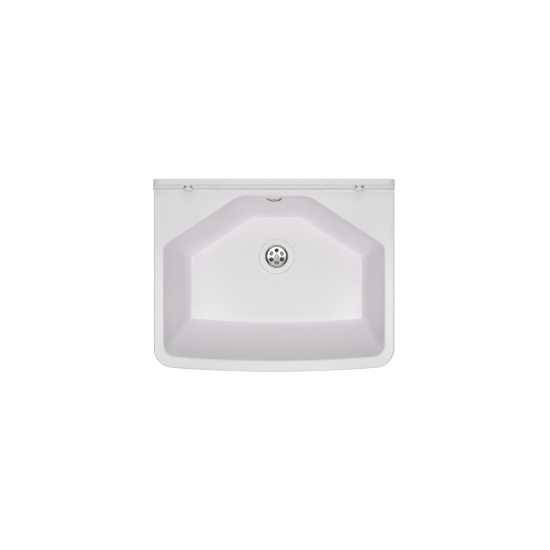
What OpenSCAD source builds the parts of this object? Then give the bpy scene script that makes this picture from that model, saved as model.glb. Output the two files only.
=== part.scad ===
// Wall-hung kitchen sink with a six-sided bowl, a strainer waste and an overflow.
// Frame: the origin is the middle of the wall face at the level of the deck.
// +X runs to the right along the wall, +Y points into the wall and +Z points up.

/* [Outside of the basin] */
// Width of the sink along the wall
sink_w = 600; // [560:5:680]
// Depth of the sink from the wall to the middle of its bowed front
sink_d = 477; // [450:1:540]
// How far the middle of the front stands proud of its ends
front_bow = 10; // [4:1:18]
// Radius of the two front corners seen from above
front_corner_r = 48; // [40:1:70]
// Radius of the outer top edge
edge_r = 7; // [4:0.5:10]
// Height of the skirt below the deck
skirt_h = 45; // [35:1:60]
// Thickness of the skirt
skirt_t = 5; // [4:0.5:6]
// Thickness of the deck
deck_t = 8; // [7:0.5:10]
// How far the back skirt stands clear of the wall
back_relief = 1; // [0.5:0.1:2]
// Thickness of the ribs under the deck
rib_t = 4; // [3:0.5:6]
// Reach of those ribs below the deck
rib_h = 27; // [15:1:32]

/* [Bowl] */
// Width of the bowl opening
bowl_w = 547; // [480:1:550]
// Width of the short back edge of the bowl opening
bowl_back_w = 170; // [120:1:220]
// Deck between the wall and the bowl
back_land = 40; // [38:0.5:60]
// Rim between the bowl and the middle of the front
front_rim = 29; // [26:0.5:45]
// Distance from the wall at which the slanting edges meet the side edges
side_start = 163; // [130:1:200]
// Depth of the bowl down to the edge of its floor
bowl_depth = 200; // [150:1:220]
// Fall of the floor from its edge to the waste
floor_fall = 4; // [2:0.5:8]
// Thickness of the bowl wall and floor
wall_t = 8; // [6:0.5:9]
// Radius of the edge between the deck and the bowl
lip_r = 5; // [3:0.5:7]
// Draft of the two side walls in degrees
side_draft = 4.5; // [2:0.1:8]
// Draft of the two slanting walls in degrees
slant_draft = 5.8; // [2:0.1:9]
// Draft of the back wall in degrees
back_draft = 5; // [3:0.1:7]
// Draft of the front wall in degrees
front_draft = 18; // [10:0.5:22]
// Radius of the fillet below the side, slanting and back walls
wall_fillet_r = 40; // [24:1:46]
// Radius of the fillet below the front wall
front_fillet_r = 50; // [30:1:58]
// Slope at which the fillets meet the floor in degrees
crease_slope = 27; // [15:1:34]
// Corner radius of the opening at its two back corners
back_corner_r = 40; // [25:1:60]
// Corner radius of the opening at its two side corners
side_corner_r = 26; // [20:1:45]
// Corner radius of the opening at its two front corners
bowl_front_r = 30; // [24:1:44]
// Corner radius at the floor
floor_corner_r = 5; // [3:0.5:8]

/* [Upstand] */
// Height of the upstand above the deck
upstand_h = 26; // [26:0.5:32]
// Thickness of the upstand at its top
upstand_t = 15; // [12:0.5:18]
// Radius of the two top corners of the upstand
upstand_end_r = 24; // [8:1:24]
// Radius of the nose along the top of the upstand
nose_r = 1.5; // [1:0.1:2.5]
// Height of the upright band under the nose
nose_h = 5.5; // [4:0.1:7]
// Height and depth of the bevel below the band
bevel = 4.5; // [3:0.1:5]
// Distance from the wall to the foot of the upstand
upstand_foot = 21; // [20.5:0.1:22]
// Radius of the cove at the foot of the upstand
cove_r = 3; // [2:0.1:3.5]

/* [Wall fixing] */
// Distance between the two fixing holes
fixing_pitch = 420; // [350:5:480]
// Height of the fixing holes above the deck
fixing_z = 14; // [14:0.1:14.5]
// Diameter of the moulded seat round each fixing hole
boss_d = 23; // [21.5:0.1:23]
// Distance from the wall to the face of that seat
boss_y = 21.2; // [20.5:0.1:22.5]
// Bore of the bush, for a wall screw
bush_bore_d = 8.5; // [6:0.1:9]
// Wall thickness of the bush
bush_t = 1.6; // [1.2:0.1:2]
// Diameter of the collar of the bush
bush_collar_d = 18; // [16:0.1:18.5]
// Thickness of the collar of the bush
bush_collar_t = 2; // [1.5:0.1:2.5]
// Diameter of the cover cap
cap_d = 22; // [21:0.1:22]
// How far the cover cap stands off its seat
cap_h = 8; // [7.5:0.1:9]
// Wall thickness of the cover cap
cap_t = 1.4; // [1:0.1:1.6]

/* [Waste] */
// Distance from the wall to the middle of the waste
drain_y = 183; // [175:1:200]
// Diameter of the white collar in the floor
collar_d = 97.5; // [90:0.5:104]
// Thickness of the collar at its edge
collar_t = 2.8; // [2:0.1:3.5]
// How far the edge of the collar stands proud of the floor
collar_proud = 0.8; // [0.4:0.1:1.2]
// Fall of the collar from its edge to the dish
collar_slope = 1.4; // [1:0.1:1.6]
// Thickness of the seal under the collar
collar_seal_t = 1.2; // [1:0.1:2]
// Diameter of the strainer dish at its edge
dish_d = 65; // [60:0.5:70]
// Diameter of the perforated disc of the dish
disc_d = 52; // [48:0.5:54]
// Depth of the dish
dish_h = 7.4; // [6:0.1:9]
// Sheet thickness of the dish
dish_t = 0.8; // [0.6:0.1:1.2]
// Width of the flat edge of the dish
dish_rim = 1.5; // [1.2:0.1:2]
// Number of holes in the dish
dish_holes = 6; // [4:1:7]
// Diameter of each hole in the dish
dish_hole_d = 12.6; // [8:0.1:12.8]
// Pitch circle of the holes in the dish
dish_pitch_d = 34.2; // [32:0.1:36]
// Head diameter of the strainer screw
strainer_head_d = 13.6; // [11:0.1:14.5]
// Head height of the strainer screw
strainer_head_h = 2.6; // [2:0.1:3.2]
// Shank diameter of the strainer screw
strainer_shank_d = 6; // [5:0.1:7]
// Length of the strainer screw below its head
strainer_shank_l = 26; // [22:1:30]
// Diameter of the hole through the floor
floor_hole_d = 64; // [62:0.5:70]
// Depth of the moulded pad under the floor
pad_h = 4; // [3:0.5:6]
// How far the pad reaches past the flange of the waste body
pad_rim = 4; // [2:0.5:8]
// Outer diameter of the flange of the waste body
body_flange_d = 90; // [86:1:100]
// Thickness of the flange of the waste body
body_flange_t = 5; // [4:0.5:7]
// Thickness of the seal under the floor
body_seal_t = 3; // [2:0.5:4]
// Inner diameter of the waste body
body_bore_d = 60; // [56:0.5:62]
// Wall thickness of the waste body
body_t = 3.5; // [3:0.1:4.5]
// Height of the wide part of the waste body
body_h = 46; // [44:1:60]
// Number of arms that carry the hub of the waste body
body_arms = 3; // [3:1:4]
// Width of each arm
arm_w = 5; // [3:0.5:7]
// Height of each arm
arm_h = 9; // [7:0.5:12]
// Diameter of the hub
hub_d = 17; // [15:0.5:19]
// Outer diameter of the insert nut
insert_d = 10; // [9:0.1:12]
// Length of the insert nut
insert_l = 16; // [12:1:18]
// Outer diameter of the outlet tail, a 1 1/2 inch pipe thread
tail_d = 47.8; // [40:0.1:48]
// Bore of the outlet tail
tail_bore_d = 40.4; // [32:0.1:41]
// Length of the outlet tail
tail_l = 28; // [20:1:40]

/* [Overflow] */
// Depth of the overflow hole below the deck
overflow_depth = 31; // [31:0.5:45]
// Diameter of the overflow hole
overflow_hole_d = 34; // [30:0.5:34]
// Diameter of the rosette
rosette_d = 47; // [42:0.5:48]
// How far the rosette stands off the wall
rosette_h = 5.5; // [4:0.1:7]
// Sheet thickness of the rosette
rosette_t = 0.9; // [0.7:0.1:1.2]
// Number of holes in the rosette
rosette_holes = 8; // [6:1:8]
// Diameter of each hole in the rosette
rosette_hole_d = 5; // [4:0.1:6]
// Pitch circle of the holes in the rosette
rosette_pitch_d = 25; // [22:0.1:26]
// Head diameter of the overflow screw
rosette_head_d = 9; // [8:0.1:10]
// Shank diameter of the overflow screw
rosette_shank_d = 5; // [4:0.1:5.5]
// Thickness of the gasket behind the wall
elbow_gasket_t = 2; // [1.5:0.1:2.5]
// Diameter of the flange of the elbow
elbow_flange_d = 42; // [40:0.5:42]
// Outer diameter of the chamber of the elbow
elbow_d = 39; // [37:0.5:39.5]
// Wall thickness of the elbow
elbow_t = 2; // [1.6:0.1:2.4]
// Depth of the elbow behind the gasket
elbow_deep = 23; // [22:0.5:23]
// How far each hose end stands off the chamber or the waste body
hose_standoff = 4; // [3:0.5:6]
// Outer diameter of the two hose spigots
spigot_d = 18.4; // [16:0.1:18.6]
// Bore of the two hose spigots
spigot_bore_d = 14; // [11:0.1:14.2]
// Length of each spigot inside the hose
spigot_l = 22; // [18:1:24]
// Outer diameter of the insert nut in the elbow
elbow_insert_d = 7.5; // [7:0.1:8]

/* [Hose and clips] */
// Outer diameter of the smooth ends of the hose
cuff_d = 23.2; // [22.4:0.1:23.8]
// Bore of the smooth ends of the hose
cuff_bore_d = 19; // [18.9:0.1:19.4]
// Length of each smooth end
cuff_l = 26; // [24:1:30]
// Outer diameter over the ribs
rib_d = 24.8; // [24:0.1:25.2]
// Outer diameter between the ribs
root_d = 22.6; // [21.6:0.1:22.6]
// Bore of the ribbed length, across its corners
hose_bore_d = 18.6; // [16:0.1:18.7]
// Distance from rib to rib
rib_pitch = 5; // [4:0.5:8]
// Radius of the bend of the hose
hose_bend_r = 60; // [50:1:66]
// Width of the band of a hose clip
clip_w = 9; // [6:0.5:12]
// Thickness of the band of a hose clip
clip_t = 0.9; // [0.7:0.1:1.2]
// Size of the screw housing of a hose clip
clip_house = 9; // [7:0.5:10]
// Distance from the end of the hose to its clip
clip_at = 5; // [3:0.5:10]
// Diameter of the screw of a hose clip
clip_screw_d = 5; // [4:0.1:5.5]
// Head diameter of that screw
clip_head_d = 7; // [6:0.1:8]
// Head height of that screw
clip_head_h = 2.5; // [2:0.1:3]
// How far that screw reaches past its housing
clip_screw_end = 3; // [1:0.5:5]

/* [Fits] */
// Gap round a piece that slides on or off
slip_gap = 0.3; // [0.2:0.05:0.5]
// Gap round a shank or a pressed piece
seat_gap = 0.1; // [0.05:0.01:0.15]

/* [Hidden] */
$fn = 96;
eps = 0.01;
// How far the ends of the upstand stand in from the sides of the skirt
upstand_inset = 0.5;
// Segments of each rounded corner of a ring, and points along the bowed front
corner_steps = 6;
bow_points = 9;
// Rings of the lip, of the outer edge and of the fillet at the foot of the walls
lip_steps = 4;
edge_steps = 4;
fillet_steps = 6;
crease = 90 - crease_slope;

// Levels of the waste, from the floor down
floor_z = -(bowl_depth + floor_fall);
collar_top = floor_z + collar_proud;
collar_low = collar_top - collar_t;
recess_z = collar_low - collar_seal_t;
recess_d = collar_d + 2 * slip_gap;
pad_z = floor_z - wall_t - pad_h;
pad_d = body_flange_d + 2 * pad_rim;
pan_r = max(pad_d, recess_d) / 2 + 3;
dish_top = collar_top - collar_slope;
disc_top = dish_top - dish_h;
disc_low = disc_top - dish_t;
dish_lean = (dish_d / 2 - dish_rim - disc_d / 2) / dish_h;
dish_wall = dish_t * norm([1, dish_lean]);
dish_back_r = disc_d / 2 - dish_t * dish_lean + dish_wall;
collar_foot = disc_low + dish_t / 2;
hub_top = disc_low - slip_gap;
body_top = pad_z - body_seal_t;
body_low = body_top - body_h;
cone_h = 12;
tail_top = body_low - cone_h;
tail_low = tail_top - tail_l;
arm_top = pad_z - 1;
spigot_z = body_top - body_flange_t - body_h / 3;
body_r = body_bore_d / 2 + body_t;
strainer_shank_low = disc_top - strainer_shank_l;

// Depths of the overflow, measured from the inner face of the back wall into the wall
gasket_at = -wall_t;
elbow_at = gasket_at - elbow_gasket_t;
elbow_back = elbow_at - elbow_deep;
spigot_at = elbow_back + elbow_t + spigot_d / 2 - 0.5;
overflow_y = -(back_land + overflow_depth * tan(back_draft));
spigot_start = elbow_d / 2 + hose_standoff;
inlet_start = body_r + hose_standoff;
post_d = elbow_insert_d + 4;
post_top = elbow_at - 3;
elbow_insert_l = 12;

// The route of the hose lies in the plane of symmetry
hose_top = [
  overflow_y - spigot_at * cos(back_draft) - spigot_start * sin(back_draft),
  -overflow_depth + spigot_at * sin(back_draft) - spigot_start * cos(back_draft),
];
hose_end = [inlet_start - drain_y, spigot_z];
hose_down = [-sin(back_draft), -cos(back_draft)];
hose_corner = hose_top + hose_down * (hose_top[1] - hose_end[1]) / cos(back_draft);
hose_turn = 90 - back_draft;
hose_setback = hose_bend_r * tan(hose_turn / 2);
hose_fall = norm(hose_corner - hose_top) - hose_setback;
hose_arc = hose_bend_r * hose_turn * PI / 180;
hose_run = norm(hose_corner - hose_end) - hose_setback;
hose_len = hose_fall + hose_arc + hose_run;
cuff_lap = 1.5;
band_d = cuff_d + 2 * slip_gap;
house_x = band_d / 2 + clip_t / 2 + clip_house / 2;
screw_x = house_x + 0.8;
ribbed_len = hose_len - 2 * cuff_l + 2 * cuff_lap;
rib_count = round(ribbed_len / rib_pitch);
hose_sides = 8;

// Rounded corner between two directions; a straight vertex spreads its points along the line
function corner(v, into, out, r, spread) =
  let (
    turn = acos(min(1, into * out)),
    t = turn < 1 ? spread : r * tan(turn / 2),
    w = cos(turn / 2),
    a = v - t * into,
    b = v + t * out
  )
  [for (i = [0:corner_steps])
    let (u = i / corner_steps, ca = (1 - u) * (1 - u), cv = 2 * w * u * (1 - u), cb = u * u)
    (ca * a + cv * v + cb * b) / (ca + cv + cb)];

// Full ring from its right half: front corner, side corner and back corner, then the bow
function ring(half_w, side, back, front_y, front_r, side_r, back_r, spread) =
  let (
    tilt = atan(2 * front_bow / (half_w - front_r)),
    set = front_r * tan((90 - tilt) / 2),
    bow_x = half_w - set * cos(tilt),
    front = [half_w, front_y + front_bow + set * sin(tilt)],
    along = (back - side) / norm(back - side),
    right = concat(
      corner(front, [cos(tilt), sin(tilt)], [0, 1], front_r, spread),
      corner(side, [0, 1], along, side_r, spread),
      corner(back, along, [-1, 0], back_r, spread)
    ),
    n = len(right)
  )
  concat(
    right,
    [for (i = [n - 1:-1:0]) [-right[i][0], right[i][1]]],
    [for (j = [1:bow_points])
      let (x = bow_x * (2 * j / (bow_points + 1) - 1))
      [x, front_y + front_bow * (x / bow_x) * (x / bow_x)]]
  );

// Distance that a wall has moved in at a depth; t is the thickness that lies outside it
function wall_inset(depth, draft, fillet, t) =
  let (
    start = bowl_depth - fillet * (sin(crease) - sin(draft)),
    cx = start * tan(draft) + fillet * cos(draft),
    cz = start - fillet * sin(draft),
    r = fillet + t
  )
  depth <= cz + r * sin(draft)
    ? depth * tan(draft) - t / cos(draft)
    : cx - sqrt(max(0, r * r - (depth - cz) * (depth - cz)));

// The same with the rounded lip at the deck
function lip_inset(depth, draft, fillet) =
  depth < lip_r * (1 - sin(draft))
    ? sqrt(lip_r * lip_r - (lip_r - depth) * (lip_r - depth)) - lip_r * tan(45 - draft / 2)
    : wall_inset(depth, draft, fillet, 0);

// Corner radius at a depth: it shrinks as the walls close in
function bowl_corner(r, gained, t) = max(floor_corner_r, r - gained) + t;

// Ring of the bowl from the four insets: back, slant, side and front
function bowl_ring(ins, gained, t) =
  let (
    slant = [bowl_w / 2 - bowl_back_w / 2, back_land - side_start],
    n = [slant[1], -slant[0]] / norm(slant),
    half_w = bowl_w / 2 - ins[2],
    back_y = -back_land - ins[0],
    back_x = bowl_back_w / 2 + (ins[1] + ins[0] * n[1]) / n[0],
    side_y = -back_land + (ins[1] - (half_w - bowl_back_w / 2) * n[0]) / n[1]
  )
  ring(
    half_w,
    [half_w, side_y],
    [back_x, back_y],
    front_rim - sink_d + ins[3],
    bowl_corner(bowl_front_r, gained, t),
    bowl_corner(side_corner_r, gained, t),
    bowl_corner(back_corner_r, gained, t),
    0
  );

function inner_ring(depth) =
  bowl_ring(
    [
      lip_inset(depth, back_draft, wall_fillet_r),
      lip_inset(depth, slant_draft, wall_fillet_r),
      lip_inset(depth, side_draft, wall_fillet_r),
      lip_inset(depth, front_draft, front_fillet_r),
    ],
    lip_inset(depth, side_draft, wall_fillet_r),
    0
  );

function outer_ring(depth) =
  bowl_ring(
    [
      wall_inset(depth, back_draft, wall_fillet_r, wall_t),
      wall_inset(depth, slant_draft, wall_fillet_r, wall_t),
      wall_inset(depth, side_draft, wall_fillet_r, wall_t),
      wall_inset(depth, front_draft, front_fillet_r, wall_t),
    ],
    wall_inset(depth, side_draft, wall_fillet_r, wall_t) + wall_t,
    wall_t
  );

// Ring of the outside: it moves in by a distance at the sides and front, and by another at the back
function skirt_ring(in, back_in) =
  ring(
    sink_w / 2 - in,
    [sink_w / 2 - in, -back_relief - back_in],
    [bowl_back_w / 2, -back_relief - back_in],
    in - sink_d,
    front_corner_r - in,
    1,
    1,
    15
  );

function at_level(points, z) = [for (p = points) [p[0], p[1], z]];

// Circle about the waste with one point for each point of a ring
function drain_ring(points, r) =
  [for (p = points) let (a = atan2(p[1] + drain_y, p[0])) [r * cos(a), r * sin(a) - drain_y]];

// Angles of the fillet rings, from the wall down to the edge of the floor
function fillet_depth(i) =
  bowl_depth - wall_fillet_r * (sin(crease) - sin(side_draft + (crease - side_draft) * i / fillet_steps));
outer_depth = bowl_depth + wall_t * sin(crease);
function outer_fillet_depth(i) = fillet_depth(i) + (outer_depth - bowl_depth) * i / fillet_steps;

// All rings of the basin: up the inside of the bowl, over the deck, down the skirt and back below
basin_rings = concat(
  [at_level(drain_ring(inner_ring(bowl_depth), pan_r), floor_z)],
  [for (i = [fillet_steps:-1:0]) at_level(inner_ring(fillet_depth(i)), -fillet_depth(i))],
  [for (i = [lip_steps:-1:0])
    let (d = lip_r * (1 - cos(90 * i / lip_steps)))
    at_level(inner_ring(d), -d)],
  [for (i = [0:edge_steps])
    let (a = 90 * i / edge_steps)
    at_level(skirt_ring(edge_r * (1 - sin(a)), 0), edge_r * (cos(a) - 1))],
  [at_level(skirt_ring(0, 0), -skirt_h)],
  [at_level(skirt_ring(skirt_t, skirt_t), -skirt_h)],
  [at_level(skirt_ring(skirt_t, skirt_t), -deck_t)],
  [at_level(outer_ring(deck_t), -deck_t)],
  [for (i = [0:fillet_steps]) at_level(outer_ring(outer_fillet_depth(i)), -outer_fillet_depth(i))],
  [at_level(drain_ring(outer_ring(outer_depth), pan_r), floor_z - wall_t)]
);

// Closed solid through rings of equal length, with a flat fan at each end
module loft(rings, first, last) {
  n = len(rings[0]);
  m = len(rings);
  points = concat([for (r = rings) each r], [first, last]);
  sides = [for (j = [0:m - 2], i = [0:n - 1])
    let (a = j * n + i, b = j * n + (i + 1) % n, c = b + n, d = a + n)
    each [[a, b, c], [a, c, d]]];
  top = [for (i = [0:n - 1]) [m * n, (i + 1) % n, i]];
  bottom = [for (i = [0:n - 1]) [m * n + 1, (m - 1) * n + i, (m - 1) * n + (i + 1) % n]];
  polyhedron(points, concat(sides, top, bottom));
}

module at_drain() {
  translate([0, -drain_y, 0]) children();
}

// Frame of the inlet from the overflow, inside at_drain: local Z points at the wall
module at_inlet() {
  translate([0, 0, spigot_z]) rotate([-90, 0, 0]) children();
}

// Frame of the outlet of the elbow, inside at_overflow: local Z points down the wall
module at_outlet() {
  translate([0, 0, spigot_at]) rotate([90, 0, 0]) children();
}

// Frame on the back wall of the bowl: local Z points into the bowl and local Y up the wall
module at_overflow() {
  translate([0, overflow_y, -overflow_depth]) rotate([90 - back_draft, 0, 0]) children();
}

// Frame on a fixing hole: local Z points away from the wall
module at_fixing(side) {
  translate([side * fixing_pitch / 2, 0, fixing_z]) rotate([90, 0, 0]) children();
}

// Round bar or hole between two levels
module rod(d, low, high) {
  translate([0, 0, low]) cylinder(d = d, h = high - low);
}

module tube(d, bore, low, high) {
  difference() {
    rod(d, low, high);
    rod(bore, low - 1, high + 1);
  }
}

// Section of the upstand across the wall: distance from the wall, height
module upstand_section() {
  band_y = -upstand_t;
  band_lean = 0.5;
  bevel_z = upstand_h - nose_h;
  foot_y = -upstand_foot;
  polygon(concat(
    [[0, -deck_t + 1], [0, upstand_h]],
    [for (i = [0:4])
      let (a = 90 * i / 4)
      [band_y + nose_r * (1 - sin(a)), upstand_h - nose_r * (1 - cos(a))]],
    [[band_y - band_lean, bevel_z], [band_y - band_lean - bevel, bevel_z - bevel]],
    [for (i = [0:4])
      let (a = 90 * i / 4)
      [foot_y - cove_r * (1 - cos(a)), cove_r * (1 - sin(a))]],
    [[foot_y - cove_r, -deck_t + 1]]
  ));
}

// Outline of the upstand seen from the front
module upstand_outline() {
  half = sink_w / 2 - upstand_inset;
  translate([-half, -deck_t]) square([2 * half, deck_t + upstand_h - upstand_end_r]);
  translate([upstand_end_r - half, 0]) square([2 * (half - upstand_end_r), upstand_h]);
  for (s = [-1, 1])
    translate([s * (half - upstand_end_r), upstand_h - upstand_end_r]) circle(r = upstand_end_r);
}

module upstand() {
  intersection() {
    rotate([90, 0, 90]) linear_extrude(sink_w, center = true) upstand_section();
    rotate([90, 0, 0]) linear_extrude(upstand_foot + cove_r + 1) upstand_outline();
  }
  for (s = [-1, 1])
    at_fixing(s) rod(boss_d, 5, boss_y);
}

// Moulded ribs under the two back corners of the deck
module deck_ribs() {
  slope = (side_start - back_land) / (bowl_w - bowl_back_w) * 2;
  for (s = [-1, 1], share = [0.3, 0.72]) {
    x = bowl_back_w / 2 + share * (bowl_w - bowl_back_w) / 2;
    bowl_y = back_land + (x - bowl_back_w / 2) * slope - wall_t / 4;
    skirt_y = back_relief + skirt_t / 2;
    translate([s * x - rib_t / 2, -bowl_y, -rib_h]) cube([rib_t, bowl_y - skirt_y, rib_h - deck_t / 2]);
  }
}

module basin() {
  color("white") difference() {
    union() {
      loft(basin_rings, [0, -drain_y, floor_z], [0, -drain_y, floor_z - wall_t]);
      upstand();
      deck_ribs();
      at_drain() rod(pad_d, pad_z, floor_z - wall_t / 2);
    }
    at_drain() rod(recess_d, recess_z, floor_z + 5);
    at_drain() rod(floor_hole_d, pad_z - 5, floor_z);
    at_overflow() rod(overflow_hole_d, -wall_t - 3, 3);
    for (s = [-1, 1])
      at_fixing(s) rod(bush_bore_d + 2 * bush_t + 2 * seat_gap, -5, boss_y + 5);
  }
}

// The two bushes stand in the fixing holes and are pierced for the wall screws
module fixing_bushes() {
  color("whitesmoke")
    for (s = [-1, 1])
      at_fixing(s) difference() {
        union() {
          rod(bush_bore_d + 2 * bush_t, 0.5, boss_y + 1);
          rod(bush_collar_d, boss_y, boss_y + bush_collar_t);
        }
        rod(bush_bore_d, -1, boss_y + bush_collar_t + 1);
      }
}

// Domed cap that pushes on over the collar of the bush
module fixing_cap(side) {
  start = boss_y + slip_gap;
  rim = 2;
  hollow_d = cap_d - 2 * cap_t;
  color("white")
    at_fixing(side) rotate_extrude() polygon([
      [hollow_d / 2, start],
      [cap_d / 2, start],
      [cap_d / 2, boss_y + cap_h - rim],
      [cap_d / 2 - 0.3 * rim, boss_y + cap_h - 0.3 * rim],
      [cap_d / 2 - rim, boss_y + cap_h],
      [0, boss_y + cap_h],
      [0, boss_y + cap_h - cap_t],
      [hollow_d / 2, boss_y + cap_h - cap_t],
    ]);
}

module fixing_cap_left() {
  fixing_cap(-1);
}

module fixing_cap_right() {
  fixing_cap(1);
}

// White ring in the floor, with a cone that the dish sits in
module waste_collar() {
  neck_d = floor_hole_d - 2 * slip_gap;
  seat_d = dish_d + 2 * seat_gap;
  round_r = 1;
  color("white")
    at_drain() rotate_extrude() polygon([
      [collar_d / 2, collar_low],
      [collar_d / 2, collar_top - round_r],
      [collar_d / 2 - 0.3 * round_r, collar_top - 0.3 * round_r],
      [collar_d / 2 - round_r, collar_top],
      [seat_d / 2 + 1, dish_top],
      [seat_d / 2, dish_top],
      [seat_d / 2, dish_top - dish_t],
      [dish_back_r + dish_lean * dish_h + seat_gap, dish_top - dish_t],
      [dish_back_r + dish_lean * dish_t / 2 + seat_gap, collar_foot],
      [neck_d / 2, collar_foot],
      [neck_d / 2, collar_low],
    ]);
}

module collar_seal() {
  color("dimgray") at_drain() tube(collar_d - 4, floor_hole_d, recess_z, collar_low);
}

// Pressed steel dish: flat edge, sloping wall and perforated disc
module strainer_dish() {
  color("silver") at_drain() difference() {
    rotate_extrude() polygon([
      [dish_d / 2, dish_top - dish_t],
      [dish_d / 2, dish_top],
      [dish_d / 2 - dish_rim, dish_top],
      [disc_d / 2, disc_top],
      [0, disc_top],
      [0, disc_low],
      [dish_back_r, disc_low],
      [dish_back_r + dish_lean * dish_h, dish_top - dish_t],
    ]);
    for (i = [0:dish_holes - 1])
      rotate([0, 0, 90 + i * 360 / dish_holes])
        translate([dish_pitch_d / 2, 0, 0]) rod(dish_hole_d, disc_low - 1, disc_top + 1);
    rod(strainer_shank_d + 2 * slip_gap, disc_low - 1, disc_top + 1);
  }
}

// Screw head turned in a low dome with a slot
module slotted_screw(head_d, head_h, shank_d, shank_l) {
  slot = head_d * 0.14;
  difference() {
    union() {
      rotate_extrude() polygon([
        [0, 0],
        [head_d / 2, 0],
        [head_d / 2, head_h * 0.45],
        [head_d * 0.43, head_h * 0.78],
        [head_d * 0.28, head_h],
        [0, head_h],
      ]);
      rod(shank_d, -shank_l, head_h / 2);
    }
    translate([-head_d, -slot / 2, head_h * 0.55]) cube([2 * head_d, slot, head_h]);
  }
}

module strainer_screw() {
  color("silver") at_drain() translate([0, 0, disc_top])
    rotate([0, 0, 35]) slotted_screw(strainer_head_d, strainer_head_h, strainer_shank_d, strainer_shank_l);
}

// Cup under the floor with the arms, the hub, the outlet tail and the inlet from the overflow
module waste_body() {
  color("gainsboro") at_drain() difference() {
    union() {
      difference() {
        union() {
          rod(body_flange_d, body_top - body_flange_t, body_top);
          rod(2 * body_r, body_low, body_top - body_flange_t / 2);
          translate([0, 0, tail_top]) cylinder(d1 = tail_d, d2 = 2 * body_r, h = cone_h);
          rod(tail_d, tail_low, tail_top);
          at_inlet() rod(spigot_d, 0, inlet_start + spigot_l);
          at_inlet() rod(cuff_d, 0, inlet_start - slip_gap);
        }
        rod(body_bore_d, body_low, body_top + 1);
        translate([0, 0, tail_top])
          cylinder(d1 = tail_bore_d, d2 = body_bore_d, h = cone_h + eps);
        rod(tail_bore_d, tail_low - 1, tail_top + eps);
        at_inlet() rod(spigot_bore_d, 0, inlet_start + spigot_l + 1);
      }
      for (i = [0:body_arms - 1])
        rotate([0, 0, 30 + i * 360 / body_arms]) body_arm();
      rod(hub_d, hub_top - insert_l - 4, hub_top);
    }
    rod(insert_d + 2 * seat_gap, hub_top - insert_l, hub_top + 1);
    rod(strainer_shank_d + 2 * slip_gap, strainer_shank_low - 3, hub_top);
  }
}

// Arm from the hub to the wall of the cup, with its foot below the flange
module body_arm() {
  translate([hub_d / 4, -arm_w / 2, body_top - arm_h - 1])
    cube([body_bore_d / 2 + body_t / 2 - hub_d / 4, arm_w, arm_h]);
  translate([hub_d / 4, -arm_w / 2, body_top - arm_h / 2])
    cube([body_bore_d / 2 - 4 - hub_d / 4, arm_w, arm_top - body_top + arm_h / 2]);
}

module waste_insert() {
  color("goldenrod") at_drain()
    tube(insert_d, strainer_shank_d + 2 * seat_gap, hub_top - insert_l, hub_top);
}

module body_seal() {
  color("dimgray") at_drain() tube(body_flange_d - 4, floor_hole_d, body_top, pad_z);
}

// Domed rosette over the overflow hole, with round holes and a screw in the middle
module overflow_rosette() {
  flat = 2.5;
  edge_rise = 0.6;
  shoulder = rosette_h * 0.75;
  well_r = rosette_head_d / 2 + edge_rise;
  color("silver") at_overflow() difference() {
    rotate_extrude() polygon([
      [rosette_d / 2, 0],
      [rosette_d / 2, rosette_t],
      [rosette_d / 2 - flat, rosette_t + edge_rise],
      [(rosette_pitch_d + rosette_hole_d) / 2, shoulder],
      [(rosette_pitch_d - rosette_hole_d) / 2, rosette_h],
      [well_r, rosette_h],
      [well_r, rosette_h - rosette_t],
      [0, rosette_h - rosette_t],
      [0, rosette_h - 2 * rosette_t],
      [well_r, rosette_h - 2 * rosette_t],
      [well_r + rosette_t, rosette_h - rosette_t],
      [(rosette_pitch_d - rosette_hole_d) / 2, rosette_h - rosette_t],
      [(rosette_pitch_d + rosette_hole_d) / 2, shoulder - rosette_t],
      [rosette_d / 2 - flat, edge_rise],
      [rosette_d / 2 - flat, 0],
    ]);
    for (i = [0:rosette_holes - 1])
      rotate([0, 0, i * 360 / rosette_holes])
        translate([rosette_pitch_d / 2, 0, 0]) rod(rosette_hole_d, -1, rosette_h + 1);
    rod(rosette_shank_d + 2 * seat_gap, -1, rosette_h + 1);
  }
}

module overflow_screw() {
  head_z = rosette_h - rosette_t;
  color("silver") at_overflow() translate([0, 0, head_z])
    rotate([0, 0, 20])
      slotted_screw(rosette_head_d, 2, rosette_shank_d, head_z - post_top + elbow_insert_l * 0.7);
}

// Chamber behind the wall with a post for the screw and a spigot that points down the wall
module overflow_elbow() {
  color("gainsboro") at_overflow() difference() {
    union() {
      difference() {
        union() {
          rod(elbow_flange_d, elbow_at - 3, elbow_at);
          rod(elbow_d, elbow_back, elbow_at - 1);
          at_outlet() rod(spigot_d, 0, spigot_start + spigot_l);
          at_outlet() rod(cuff_d, elbow_d / 2 - 4, spigot_start - slip_gap);
        }
        rod(elbow_d - 2 * elbow_t, elbow_back + elbow_t, elbow_at + 1);
        at_outlet() rod(spigot_bore_d, 0, spigot_start + spigot_l + 1);
      }
      rod(post_d, elbow_back + elbow_t / 2, post_top);
    }
    rod(elbow_insert_d + 2 * seat_gap, post_top - elbow_insert_l, post_top + 1);
  }
}

module elbow_insert() {
  color("goldenrod") at_overflow()
    tube(elbow_insert_d, rosette_shank_d + 2 * seat_gap, post_top - elbow_insert_l, post_top);
}

module elbow_gasket() {
  color("dimgray") at_overflow() tube(elbow_flange_d, elbow_d - 2 * elbow_t, elbow_at, gasket_at);
}

// Point and heading of the hose at a distance from its top end
function hose_at(s) =
  s <= hose_fall
    ? [hose_top + hose_down * s, hose_down]
    : s <= hose_fall + hose_arc
      ? let (
          a = (s - hose_fall) / hose_bend_r * 180 / PI,
          centre = hose_top + hose_down * hose_fall + hose_bend_r * [-cos(back_draft), sin(back_draft)],
          way = back_draft + a
        )
        [centre + hose_bend_r * [cos(way), -sin(way)], [-sin(way), -cos(way)]]
      : [hose_end + [hose_len - s, 0], [-1, 0]];

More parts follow.
